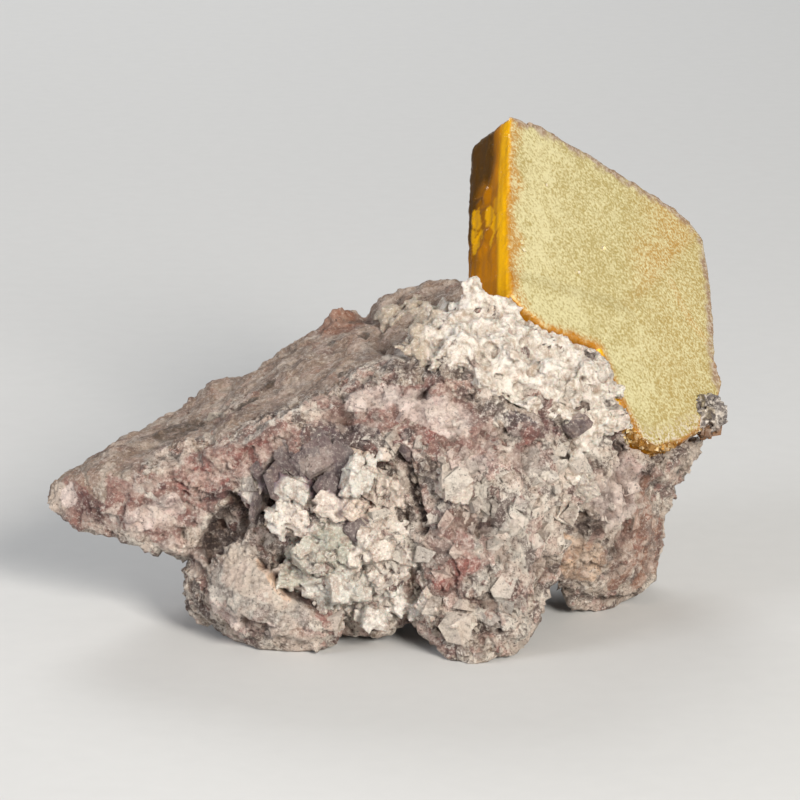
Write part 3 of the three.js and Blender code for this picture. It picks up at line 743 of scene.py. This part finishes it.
# How fine each piece's skin is, in mm.
ROCK_VOXEL = 0.47
CRUST_VOXEL = 0.17
VEIN_VOXEL = 0.14
RHOMB_VOXEL = 0.13
PLATE_VOXEL = 0.24
LONE_RHOMBS = [f"calcite_rhomb_{k}" for k in range(1, 7)]


# ---------------------------------------------------------------------------------------------
# The wulfenite plate's own directions: across and up its front face, and out of it
# ---------------------------------------------------------------------------------------------
PLATE_LEAN = math.radians(38.0)
PLATE_TURN = math.radians(30.0)
PLATE_THICKNESS = 5.6  # mm
PLATE_HEIGHT = 24.7  # mm
SECOND_PROUD = 0.25  # mm


def plate_frame():
    """The plate's lower left front corner, and its directions across, up and out as rows."""
    up = Vector((0.0, math.cos(PLATE_LEAN), math.sin(PLATE_LEAN)))
    across = Vector((math.cos(PLATE_TURN), math.sin(PLATE_TURN), 0.0))
    across.z = -across.y * up.y / up.z
    across.normalize()
    axes = np.array([across, up, across.cross(up)])
    spread = cad_solid("wulfenite_plate")[0] @ axes.T
    left = spread[:, 0].min()
    bottom = spread[:, 1].max() - PLATE_HEIGHT
    front = spread[:, 2].max() - SECOND_PROUD
    return np.array([left, bottom, front]) @ axes, axes


PLATE_CORNER, PLATE_AXES = plate_frame()


def in_plate(points):
    return (points - PLATE_CORNER) @ PLATE_AXES.T


def from_plate(local):
    return PLATE_CORNER + local @ PLATE_AXES


# ---------------------------------------------------------------------------------------------
# The host rock
# ---------------------------------------------------------------------------------------------
BESIDE_ACROSS = (-0.6, 29.0)  # where rock can lie close to the plate's broad faces, mm
BESIDE_UP = (-8.5, 24.0)  # mm
DRAWN_UP = 0.9  # how near to a broad face rock is drawn up to it, mm
BITE = 0.15  # how far it then reaches in, mm


def against_plate(points):
    """Rock close to the plate's broad faces is drawn up to them, so that the crystal grows out of it."""
    local = in_plate(points)
    across, up, out = local.T
    beside = (across > BESIDE_ACROSS[0]) & (across < BESIDE_ACROSS[1])
    beside &= (up > BESIDE_UP[0]) & (up < BESIDE_UP[1])
    front = beside & (out > 0.0) & (out < DRAWN_UP)
    back = beside & (out < -PLATE_THICKNESS) & (out > -PLATE_THICKNESS - DRAWN_UP)
    local[front, 2] = -BITE
    local[back, 2] = BITE - PLATE_THICKNESS
    return from_plate(local)


# Rock that grips the plate's lower rim: along the rim across and up the plate, mm.
GRIP = [(13.2, -5.4), (14.6, -7.2), (16.2, -8.4), (18.0, -8.9), (19.8, -8.2), (21.6, -6.9), (23.4, -5.3),
        (25.0, -3.8)]
GRIP_DEPTHS = (-1.9, -3.2, -4.6)
FILLERS = [
    # rock that closes hollows under the crust: middle, three edge lengths, turns about X, Y and Z in degrees
    ((2.4, -13.6, 23.2), (4.6, 4.0, 3.6), (20, 10, 15)),
    ((5.6, -14.4, 24.2), (4.2, 3.4, 3.2), (-10, 25, 30)),
    ((0.4, -14.2, 23.6), (3.2, 3.0, 3.0), (10, -20, 40)),
    ((8.8, -15.2, 22.6), (3.4, 3.0, 3.0), (30, 15, -10)),
]
SOCKET_REACH = 0.4  # how near to a crystal the rock counts as its socket, mm
SOCKET_SUNK = 0.5  # how far the rock is drawn back there, mm


def gripping_rock(rng):
    places = np.array([from_plate(np.array((*place, out))) for place in GRIP for out in GRIP_DEPTHS])
    sizes = rng.uniform(1.7, 2.6, (len(places), 3))
    return shards(places, sizes, random_turns(len(places), rng), 0.15, rng)


def host_rock_skin(rng):
    """The rock with its sockets closed, a little under the crystals that fill them."""
    fillings = [cad_solid(node) for node in ("calcite_vein", "calcite_crust", *LONE_RHOMBS)]

    def broken_front(middles, outward):
        covered = [near(middles, filling, SOCKET_REACH) for filling in fillings[:2]]
        return (np.maximum(*covered) < 1.0) & (outward[:, 1] < 0.1) & (outward[:, 2] > -0.35)

    added = [gripping_rock(rng)] + [terraced(*filler, rng, steps=5) for filler in FILLERS]
    points, faces = skinned([cad_solid("host_rock")] + added + fillings, ROCK_VOXEL, finer=broken_front)
    points = relaxed(points, faces, 2)
    under = np.maximum.reduce([near(points, filling, SOCKET_REACH) for filling in fillings])
    return raised(points, normals_of(points, faces), -SOCKET_SUNK * under), faces


def calm_ground(points):
    """1 on the smooth weathered slopes and 0 off them."""
    return patch(points, SMOOTH_GROUND, 5, ragged=0.5, grain=5.0)


def stain_masks(points):
    """How strongly each stain lies on each point."""
    return {key: patch(points, spots, 40 + k) for k, (key, spots) in enumerate(STAINS.items())}


def rock_relief(points):
    """Height of the broken surface over the skin, in mm."""
    calm = calm_ground(points)
    broken = (1.0 - 0.7 * calm) * (1.0 - 0.6 * patch(points, WORN_LOBE, 6))
    coarse = warped(points, 3.0, 0.7, 11)
    fine = warped(points, 1.1, 0.28, 51)
    height = np.zeros(len(points))
    layers = [
        # height of the chips in mm, where they are, the ground they lie on, their size in mm, salt
        (0.5, broken, coarse, 5.2, 100), (0.45, broken, coarse, 2.3, 110), (0.3, broken, fine, 1.05, 120),
        (0.16, 1.0 - 0.4 * calm, fine, 0.55, 130),
    ]
    for rise, share, ground, size, salt in layers:
        height += rise * share * faceted(ground, size, salt)
    height += 0.22 * lumps(points, 2.6, 31, 4) * (1.0 - 0.55 * calm)
    height += 0.2 * calm * lumps(points * np.array([0.22, 1.0, 0.8]), 0.9, 36, 3)
    return height


CAVITY_DEPTH = 0.9  # mm
CRACK_DEPTH = 1.3  # mm
CRACK_WIDTH = 0.9  # mm


def host_rock(rng):
    points, faces = host_rock_skin(rng)
    masks = stain_masks(points)
    for k, key in enumerate(BACK_STAINS):
        soaked = eased(lumps(points, 5.5, 210 + 10 * k), 0.12, 0.45)
        masks[key] = np.maximum(masks[key], soaked * eased(points[:, 1], *BACK_STARTS))
    normals = normals_of(points, faces)
    crack = eased(1.0 - reach_of_route(points, CRACK) / CRACK_WIDTH, 0.0, 1.0)
    height = rock_relief(points) - CAVITY_DEPTH * masks["cavity_shade"] - CRACK_DEPTH * crack
    on_floor = eased(points[:, 2], 0.0, 0.8)
    height *= np.where(normals[:, 2] < -0.2, on_floor, 1.0)
    # painted shade: the cavities, the crack and the gap beside the plate take the dark cavity colour
    masks["cavity_shade"] = np.maximum.reduce([masks["cavity_shade"], crack, patch(points, SHADED_GAP_BESIDE_PLATE)])
    # painted shade: darker where the relief lies low
    masks["hollow"] = eased(-height, -0.1, 0.9)
    masks["granular"] = 1.0 - 0.65 * calm_ground(points)
    masks["granular"] *= 1.0 - 0.5 * np.maximum.reduce([masks[key] for key in CLAYEY])
    masks["granular"] *= 1.0 - 0.4 * patch(points, WORN_LOBE, 6)
    masks["lift"] = np.zeros(len(points))
    moved = above_floor(against_plate(raised(points, normals, height)))
    make_piece("host_rock_broken", moved, faces, LIMESTONE, ["host_rock"], masks)
    calcite_grains(moved, faces, rng)
    slate_flakes(rng)
    return moved, faces


GRAINS = 800


def calcite_grains(points, faces, rng):
    """Small cleaved grains half sunk in the rock."""
    ground = 0.05 * (points[:, 2] > 0.6) + patch(points, GRAIN_GROUND, 77, ragged=0.5)
    ground *= 1.0 - 0.95 * calm_ground(points)
    ground *= near(points, cad_solid("wulfenite_plate"), 1.6) == 0.0
    ground *= normals_of(points, faces)[:, 2] > -0.3
    places, normals = scattered(points, faces, ground, GRAINS, rng)
    edges = mostly_small(0.35, 1.0, 3.0, GRAINS, rng)
    sizes = uneven(edges, 0.45, 1.35, rng)
    places = raised(places, normals, edges * rng.uniform(-0.5, -0.1, GRAINS))
    places[:, 2] = np.maximum(places[:, 2], 0.75 * edges)
    turns = clustered_turns(places, 2.4, 60, 14.0, rng)
    masks = {key: per_corner(mask) for key, mask in stain_masks(places).items()}
    # the grains take half the painted cavity shade
    masks["cavity_shade"] *= 0.5
    masks["hollow"] = per_corner(np.zeros(GRAINS))
    masks["granular"] = per_corner(np.full(GRAINS, 0.35))
    masks["lift"] = per_corner(mostly_small(0.0, 0.75, 1.6, GRAINS, rng))
    points, faces = shards(places, sizes, turns, 0.32, rng)
    make_piece("calcite_grains", above_floor(points), faces, LIMESTONE, masks=masks, smooth=False)


SLATES = [
    # middle, three edge lengths, turns about X, Y and Z in degrees
    ((-7.2, -18.4, 19.4), (3.4, 0.5, 2.6), (-35, -25, 10)),
    ((-5.2, -18.6, 18.8), (3.0, 0.45, 2.8), (-20, 15, -15)),
    ((-8.9, -18.6, 17.9), (2.6, 0.5, 1.6), (-45, 40, 20)),
    ((-11.2, -18.0, 16.6), (2.6, 0.5, 1.8), (-30, 60, 10)),
    ((-12.0, -18.3, 13.6), (0.6, 1.4, 3.0), (-10, 10, -30)),
    ((-6.0, -20.0, 13.0), (1.8, 0.5, 1.5), (-20, 30, 0)),
    ((1.6, -18.4, 19.3), (1.8, 0.5, 1.4), (-30, 50, 10)),
    ((17.0, -13.6, 20.0), (2.2, 0.5, 1.6), (-40, -30, 30)),
    ((-6.6, -19.3, 18.3), (3.2, 0.4, 2.6), (-15, -35, 5)),
    ((-4.7, -19.5, 18.2), (2.2, 0.4, 3.2), (-10, 25, -30)),
    ((-5.4, -20.5, 16.0), (1.8, 0.8, 2.0), (-20, 45, 10)),
    ((-3.1, -20.9, 12.4), (1.6, 0.6, 1.8), (-15, 40, 0)),
    ((-9.8, -19.3, 16.4), (3.0, 0.4, 2.0), (-25, 70, 15)),
    ((-7.9, -19.0, 17.2), (0.4, 1.2, 3.0), (-5, 8, 10)),
]


def slate_flakes(rng):
    """Thin dark flakes that stand out of the rock round the vein."""
    points, faces = joined([terraced(*slate, rng, steps=4) for slate in SLATES])
    strengths = {key: 0.0 for key in (*STAINS, "lift", "hollow")}
    strengths.update({"purple_slate": 1.0, "granular": 0.15})
    masks = {key: np.full(len(points), strength) for key, strength in strengths.items()}
    make_piece("slate_flakes", points, faces, LIMESTONE, masks=masks, smooth=False)


# ---------------------------------------------------------------------------------------------
# The calcite: vein, crust and the rhombs that stand by themselves
# ---------------------------------------------------------------------------------------------
VEIN_BLOCKS = [
    # middle of the front face, three edge lengths, turns about X, Y and Z in degrees, greenness, warmth
    ((-3.0, -21.3, 17.0), (2.6, 2.2, 2.9), (-25, 35, 10), 0.3, 0.0),
    ((-1.3, -19.4, 16.1), (2.3, 2.0, 2.2), (10, 10, -30), 0.0, 0.5),
    ((0.5, -18.2, 15.0), (2.0, 1.8, 2.4), (-20, 60, 30), 0.1, 0.4),
    ((-5.5, -20.8, 14.6), (1.7, 1.6, 3.0), (-10, -49, 8), 0.0, 0.45),
    ((-8.5, -19.9, 15.6), (3.0, 1.8, 1.9), (-20, 20, -15), 0.35, 0.1),
    ((-8.0, -19.9, 13.0), (2.6, 2.0, 2.3), (-5, 8, -20), 0.0, 0.4),
    ((-10.0, -19.9, 12.5), (1.3, 1.8, 2.6), (-5, -5, -35), 0.0, 0.1),
    ((-3.5, -20.5, 14.4), (2.1, 1.8, 2.3), (-10, -50, 20), 0.0, 0.65),
    ((-3.0, -18.0, 18.6), (2.4, 1.0, 1.0), (20, 15, 0), 0.0, 0.8),
    ((-1.6, -18.6, 17.7), (0.7, 0.9, 1.8), (-10, -30, 0), 0.0, 0.0),
    ((-5.0, -20.3, 11.2), (3.4, 2.2, 2.4), (-15, 30, 10), 0.95, 0.0),
    ((-7.0, -20.5, 9.6), (3.4, 2.2, 2.4), (-25, -40, 20), 0.85, 0.1),
    ((-1.5, -20.6, 10.4), (2.8, 2.0, 3.4), (-15, -12, 15), 0.2, 0.3),
    ((1.6, -18.6, 10.0), (1.5, 1.8, 4.0), (-10, -12, 10), 0.0, 0.25),
    ((-6.0, -19.4, 6.2), (2.5, 1.8, 1.9), (-20, 10, -10), 0.45, 0.0),
    ((-3.9, -20.6, 6.6), (2.9, 2.0, 2.0), (-20, 5, 15), 0.4, 0.0),
    ((-1.4, -19.3, 3.7), (2.4, 1.8, 1.9), (0, 20, 0), 0.1, 0.1),
    ((0.6, -18.6, 4.7), (1.8, 1.6, 1.6), (30, 40, 0), 0.0, 0.0),
    ((-12.3, -17.8, 14.9), (1.9, 1.2, 2.8), (-10, 25, -20), 0.0, 0.4),
]
INTO_ROCK = np.array([0.0, 0.97, -0.24])  # how a block in the front of the rock is sunk
BLOCKS_PROUD = 0.6  # mm
INFILL = 420  # small rhombs packed between the blocks


def calcite_vein(rock, rng):
    """Cleaved blocks set in the rock, with smaller ones packed between them."""
    blocks = []
    for at, edges, turn, _, _ in VEIN_BLOCKS:
        sunk = (0.3 * np.mean(edges) - BLOCKS_PROUD) * INTO_ROCK
        blocks.append(terraced(at + sunk, edges, turn, rng, steps=9, jitter=0.12, spread=0.42))
    places, normals = scattered(*rock, patch(rock[0], VEIN_GROUND, 81), INFILL, rng)
    sizes = uneven(mostly_small(0.4, 0.9, 2.0, INFILL, rng), 0.6, 1.4, rng)
    infill = shards(places - 0.1 * normals, sizes, clustered_turns(places, 2.2, 64, 18.0, rng), 0.12, rng)
    points, faces = skinned([swollen(cad_solid("calcite_vein"), -0.8), infill] + blocks, VEIN_VOXEL)
    worn = 0.14 * faceted(warped(points, 0.8, 0.2, 71), 0.7, 140) + 0.06 * lumps(points, 0.6, 72)
    points = above_floor(raised(points, normals_of(points, faces), worn))
    middles = np.array([at for at, *_ in VEIN_BLOCKS])
    reach = np.array([np.mean(edges) for _, edges, *_ in VEIN_BLOCKS])
    apart = np.linalg.norm(points[:, None] - middles[None], axis=2) / reach
    block = apart.argmin(axis=1)
    masks = {
        "tint": np.array([greenness for *_, greenness, _ in VEIN_BLOCKS])[block],
        "warmth": np.array([warmth for *_, warmth in VEIN_BLOCKS])[block],
        "slate": eased(apart.min(axis=1), 0.52, 0.72) * patch(points, DARK_JOINTS, 83),
        # painted shade in the joints between the blocks and in their dents
        "hollow": crevice(points, faces, 14, 0.22),
    }
    make_piece("calcite_vein_cleaved", points, faces, CALCITE, ["calcite_vein"], masks)


# Where the crust hides the wall of the plate's lower left edge: across and up the plate, mm.
CRUST_EDGE = [(0.1, -0.4), (1.7, -1.5), (4.8, -2.1), (8.0, -1.4), (11.2, -0.5), (11.9, -2.4)]
CRUST_KNOBS = 800
EDGE_KNOBS = 260


def calcite_crust(rock, rng):
    """A knobby blanket: many angular lumps grown together over the rock and up against the plate."""
    ground = patch(rock[0], CRUST_GROUND, 91, ragged=0.35) * (1.0 - patch(rock[0], SHADED_GAP_BESIDE_PLATE))
    places, normals = scattered(*rock, ground, CRUST_KNOBS, rng)
    edges = mostly_small(0.4, 1.0, 2.0, CRUST_KNOBS, rng)
    places = raised(places, normals, edges * rng.uniform(-0.25, 0.2, CRUST_KNOBS))
    edge = strewn(CRUST_EDGE, EDGE_KNOBS, rng)
    edge = np.column_stack([edge + rng.normal(0.0, 0.2, edge.shape), rng.uniform(-2.2, -0.1, EDGE_KNOBS)])
    places = np.concatenate([places, from_plate(edge)])
    edges = np.concatenate([edges, rng.uniform(0.5, 1.1, EDGE_KNOBS)])
    sizes = uneven(edges, 0.6, 1.3, rng)
    knobs = shards(places, sizes, clustered_turns(places, 1.8, 66, 30.0, rng), 0.16, rng)
    points, faces = skinned([swollen(cad_solid("calcite_crust"), -0.35), knobs], CRUST_VOXEL)
    points = relaxed(points, faces, 4)
    grown = warped(points, 1.0, 0.3, 73)
    silky = patch(points, FIBRES, 84)
    rough = 0.24 * (cobbled(grown, 1.5, 160) - 0.5) + 0.28 * (cobbled(grown, 0.68, 165) - 0.5)
    rough = rough * (1.0 - 0.75 * silky) + 0.12 * silky * lumps(points * (1.6, 0.6, 0.4), 0.5, 78)
    points = raised(points, normals_of(points, faces), rough + 0.05 * lumps(points, 0.5, 74))
    left = 5.0 - points[:, 0] + 1.6 * lumps(points, 2.0, 75)
    # painted shade, with some ochre dirt, in the pits between the knobs
    masks = {"hollow": crevice(points, faces, 14, 0.26), "aged": eased(left, 0.0, 2.5)}
    make_piece("calcite_crust_knobby", points, faces, CRUST, ["calcite_crust"], masks)


def lone_rhombs():
    """The blocks that stand by themselves, with worn edges and cleavage steps."""
    for k, node in enumerate(LONE_RHOMBS):
        points, faces = skinned([cad_solid(node)], RHOMB_VOXEL)
        points = relaxed(points, faces, 1)
        steps = faceted(warped(points, 1.0, 0.2, 76), 1.1, 170 + k)
        worn = 0.2 * steps + 0.1 * faceted(points, 0.45, 180 + k) - 0.1
        points = raised(points, normals_of(points, faces), worn)
        masks = {
            "tint": np.full(len(points), 0.15),
            "warmth": np.full(len(points), 0.35),
            # painted shade in the blocks' dents and steps
            "hollow": crevice(points, faces, 10, 0.25),
        }
        make_piece(f"calcite_block_{k + 1}", points, faces, CALCITE, [node], masks)


# ---------------------------------------------------------------------------------------------
# The wulfenite plate. Routes and places on its front face are across and up the plate, mm.
# ---------------------------------------------------------------------------------------------
SEAM = [(11.4, 1.2), (16.0, 8.0), (26.0, 11.0)]
GOLDEN_SEAM = [(22.2, 14.0), (23.2, 12.2), (24.6, 10.6), (26.6, 9.4)]
DUSTY_EDGE = [(1.9, 23.4), (4.9, 24.1), (12.0, 24.5), (23.0, 24.7), (25.8, 24.3), (27.6, 22.8),
              (28.4, 16.4), (28.4, 9.0), (28.6, 5.0)]
LOW_EDGE = [(0.1, -0.4), (1.7, -1.2), (4.8, -1.7), (8.0, -0.9), (11.7, -0.2), (12.6, -2.2), (14.2, -4.6),
            (15.0, -6.2), (16.0, -7.3)]
BLOOMS = [((2, 0.5, 0), (9, 2.2, 0), 2.6), ((3, -1, 0), (9, -0.6, 0), 1.6), ((2.4, 5, 0), (4.5, 11, 0), 2.2),
          ((14, 0.5, 0), (17.5, 3.5, 0), 2.8), ((12.5, -3.5, 0), (18, -1, 0), 2.2),
          ((3, 14, 0), (6, 21, 0), 2.4)]
RIM = [(12.7, -4.6), (13.6, -6.2), (15.0, -7.3), (17.0, -7.9), (19.2, -7.6), (21.8, -5.6), (24.0, -3.5),
       (25.4, -2.2)]
GLINTS = [(2.0, 7.4), (2.3, 6.6), (12.7, 1.8), (11.5, -2.0), (9.4, 8.0), (5.5, 16.5), (13.0, 13.0)]
BACK_ROUND = 2.0  # radius of the upper back edge at the left, mm
ROUND_OUT = -3.6  # its middle, out of the front face, mm
ROUND_UP = 20.8  # and up the plate, mm
ROUND_ENDS = 4.0  # how far across the plate it goes, mm


def inside_second(across, up):
    """How far points on the face are inside the second plate's outline, in mm."""
    inside = -np.full(len(across), np.inf)
    for (x0, y0), (x1, y1) in zip(SEAM, SEAM[1:]):
        run = math.hypot(x1 - x0, y1 - y0)
        inside = np.maximum(inside, -((x1 - x0) * (up - y0) - (y1 - y0) * (across - x0)) / run)
    return inside


def wulfenite_plate():
    """The plate with growth steps on its left side, a chipped edge, and the second plate's low seam.
    across, up and out are columns of local, so they move with it."""
    points, faces = skinned([cad_solid("wulfenite_plate")], PLATE_VOXEL)
    points = relaxed(points, faces, 1)
    local = in_plate(points)
    facing = normals_of(points, faces) @ PLATE_AXES.T
    across, up, out = local.T
    flat = np.column_stack([across, up, np.zeros(len(local))])

    # the second plate's ledge
    second = inside_second(across, up)
    ledge = SECOND_PROUD * eased(second, -0.6, 1.6)
    front = out > -SECOND_PROUD
    local[:, 2] = np.where(front, np.minimum(out, 0.0) + ledge * eased(out, -SECOND_PROUD, 0.0), out)

    # the left side's growth lines and its shattered part
    side = eased(-facing[:, 0], 0.6, 0.9)
    lines = np.column_stack([np.zeros(len(local)), 0.05 * up, out])
    way, own, border = chips(warped(local * (0.0, 0.5, 1.0), 1.0, 0.3, 75), 1.15, 192)
    tilted = (way[:, 1:] * (2.0 * own[:, 1:] - 1.0)).sum(axis=1) + 0.8 * (own[:, 0] - 0.5)
    tilted *= eased(border, 0.0, 0.5)
    shattered = eased(1.0 - np.hypot((up - 11.0) / 6.5, (out + 3.0) / 2.4), 0.0, 0.5)
    local[:, 0] += side * (0.2 + 0.05 * lumps(lines, 0.3, 191, 2) + (0.1 + 0.25 * shattered) * (0.3 + tilted))

    # the rounded back edge, and wear that bites most at the edges
    edge = np.hypot(np.maximum(ROUND_OUT - out, 0.0), np.maximum(up - ROUND_UP, 0.0))
    rounded = (edge > BACK_ROUND) & (across < ROUND_ENDS)
    drawn_in = np.where(rounded, BACK_ROUND / np.maximum(edge, BACK_ROUND), 1.0)
    local[:, 2] = np.where(out < ROUND_OUT, ROUND_OUT + (local[:, 2] - ROUND_OUT) * drawn_in, local[:, 2])
    local[:, 1] = np.where(up > ROUND_UP, ROUND_UP + (local[:, 1] - ROUND_UP) * drawn_in, local[:, 1])
    wear = 0.06 * lumps(local, 1.4, 193) + 0.05 * faceted(local, 0.8, 194)
    rim = 1.0 - np.maximum(np.abs(facing).max(axis=1), 0.6)
    local += (wear * (0.2 + 7.0 * rim))[:, None] * facing

    # dust along the far edges, and the glassy border that frost leaves free
    on_face = np.column_stack([across, up])
    dusty = 1.0 - reach_of_route(on_face, DUSTY_EDGE) / 2.2
    edge_dust = eased(dusty, 0.05, 0.6) * eased(dusty + 0.45 * lumps(local, 0.8, 203), 0.1, 0.5)
    wall_dust = 0.65 * eased(lumps(local, 0.7, 202, 4), -0.8, 0.8)
    edge_dust *= np.where(np.abs(facing[:, 2]) > 0.5, 1.0, wall_dust)
    low_edge = reach_of_route(on_face, LOW_EDGE)
    border_way = np.minimum(low_edge, np.maximum(across, 0.0))
    glassy = eased(1.0 - border_way / 1.3 + 0.3 * lumps(flat, 1.2, 204), 0.2, 0.7)
    front_face = eased(np.abs(facing[:, 2]), 0.65, 0.93) * (1.0 - 0.75 * glassy)

    # painted glow and highlights on the side: a stripe near the front, lit chips and low walls facing down;
    # amber tones; deep tones and painted shade
    bloom = patch(flat, BLOOMS, 201, ragged=0.8, grain=1.8)
    glow_stripe = eased(-facing[:, 0], 0.3, 0.6) * eased(out, -1.6, -1.1)
    glow_stripe *= 0.85 + 0.5 * lumps(lines, 0.25, 198, 2)
    # painted highlights: some of the shattered chips on the side are painted bright as if lit
    lit = 0.7 * side * eased(shattered, 0.1, 0.4) * eased(own[:, 0], 0.6, 0.66) * eased(border, 0.0, 0.08)
    lobe = eased(second, 0.0, 1.2)
    right = eased(across + 2.0 * lumps(flat, 5.0, 199), 14.0, 22.0) * (1.0 - 0.75 * lobe)
    left_edge = eased(2.8 - across + 0.8 * lumps(flat, 2.5, 200), 0.0, 1.6)
    edges = np.maximum(left_edge, eased(1.0 - low_edge / 1.8, 0.0, 0.7))
    seam = eased(1.0 - reach_of_route(on_face, GOLDEN_SEAM) / 1.2, 0.0, 1.0)
    amber = np.maximum.reduce([edges, 0.65 * right, 0.6 * seam])
    low_rim = eased(1.0 - reach_of_route(on_face, RIM) / 2.6, 0.0, 0.8)
    under = eased(-facing[:, 1], 0.4, 0.7)
    # darker towards the back and top of the side, less on its shattered part, with painted shade on walls
    # facing down under the second plate
    deep_tone_and_shade = 1.15 * eased(-out, 1.5, 2.9) * eased(up, 3.0, 12.0) * (1.0 - 0.7 * side * shattered)
    deep_tone_and_shade = deep_tone_and_shade + 0.4 * (own[:, 1] - 0.4) + 0.6 * under * lobe
    density = 0.9 * bloom - 0.45 + 0.35 * eased(15.0 - across, 0.0, 10.0) - 0.3 * lumps(flat, 6.0, 197)
    masks = {
        "frost": np.maximum(front_face, 0.85 * edge_dust),
        "depth": np.clip(deep_tone_and_shade, 0.0, 1.0),
        "painted_glow": np.clip(glow_stripe + lit + 0.5 * under * (1.0 - lobe) * eased(out, -1.6, -0.4), 0.0, 1.0),
        "dust": np.clip(edge_dust * (0.8 + 0.6 * lumps(local, 0.9, 196)), 0.0, 0.9),
        "bloom": density - 0.8 * low_rim - 0.9 * edges,
        "amber": np.clip(amber, 0.0, 1.0),
        # where the painted glints lie: along the low rim and the dusty edges
        "sparkle": np.maximum(0.75 * low_rim, 0.4 * edge_dust),
    }
    points = from_plate(local)
    make_piece("wulfenite_crystal", points, faces, WULFENITE, ["wulfenite_plate"], masks)


RIM_CRYSTALS = 520
UNDER_RIM = 160  # crystals on the wall under the rim
RIM_MIDDLE = (18.5, 0.0)  # the crystals on the rim spread towards this place on the face, mm
RIM_PROUD = 0.12  # how far in front of the face the crystals' middles are, mm


def rim_crystals(rng):
    """Tiny crystals grown along the plate's lower rim, and a few by themselves on its face."""
    on_rim = strewn(RIM, RIM_CRYSTALS, rng)
    inward = np.array(RIM_MIDDLE) - on_rim
    inward /= np.linalg.norm(inward, axis=1, keepdims=True)
    on_rim += inward * np.abs(rng.normal(0.0, 0.75, (RIM_CRYSTALS, 1)))
    below = strewn(RIM[1:6], UNDER_RIM, rng)
    spread = np.concatenate([np.column_stack([on_rim, np.full(RIM_CRYSTALS, RIM_PROUD)]),
                             np.column_stack([np.array(GLINTS), np.full(len(GLINTS), RIM_PROUD)]),
                             np.column_stack([below, -2.4 * rng.random(UNDER_RIM) ** 1.5])])
    edges = np.concatenate([rng.uniform(0.1, 0.24, RIM_CRYSTALS), rng.uniform(0.22, 0.36, len(GLINTS)),
                            rng.uniform(0.2, 0.5, UNDER_RIM)])
    sizes = uneven(edges, 0.7, 1.3, rng)
    points, faces = rhombs(from_plate(spread), sizes, random_turns(len(edges), rng))
    # The crystals at the glints are all pale and carry painted glints. The pale rim crystals carry them too.
    pale = [rng.random(RIM_CRYSTALS), np.ones(len(GLINTS)), rng.random(UNDER_RIM) ** 3.0]
    pale = per_corner(np.concatenate(pale))
    masks = {"frost": 0.15 + 0.85 * pale, "dust": 0.3 * (1.0 - pale), "sparkle": pale, "bloom": pale,
             "amber": 1.0 - pale, "depth": 0.65 * (1.0 - pale)}
    make_piece("wulfenite_rim_crystals", points, faces, WULFENITE, masks=masks, smooth=False)


DRUSE_CRYSTALS = 320


def dark_druse(rng):
    """A ball of small dark crystals at the plate's lower right corner."""
    low, high = (np.array(corner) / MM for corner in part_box("dark_druse"))
    middle = (low + high) / 2.0
    half = (high - low) / 2.0
    way = rng.normal(size=(DRUSE_CRYSTALS, 3))
    way /= np.linalg.norm(way, axis=1, keepdims=True)
    edges = mostly_small(0.3, 0.7, 2.0, DRUSE_CRYSTALS, rng)
    places = middle + way * (half - 0.5 * edges[:, None]) * rng.uniform(0.5, 0.95, (DRUSE_CRYSTALS, 1))
    sizes = uneven(edges, 0.6, 1.3, rng)
    masks = {"tint": per_corner(eased(middle[2] - places[:, 2], 0.4, 1.5))}
    points, faces = rhombs(places, sizes, random_turns(DRUSE_CRYSTALS, rng))
    make_piece("dark_druse_crystals", points, faces, DRUSE, ["dark_druse"], masks, smooth=False)


# ---------------------------------------------------------------------------------------------
# The specimen
# ---------------------------------------------------------------------------------------------
LIMESTONE = stained_limestone()
CALCITE = cleaved_calcite()
CRUST = calcite_crust_finish()
WULFENITE = honey_wulfenite()
DRUSE = dark_druse_finish()

add_camera()
add_studio()
random = np.random.default_rng(SEED)
rock = host_rock(random)
calcite_vein(rock, random)
calcite_crust(rock, random)
lone_rhombs()
wulfenite_plate()
rim_crystals(random)
dark_druse(random)
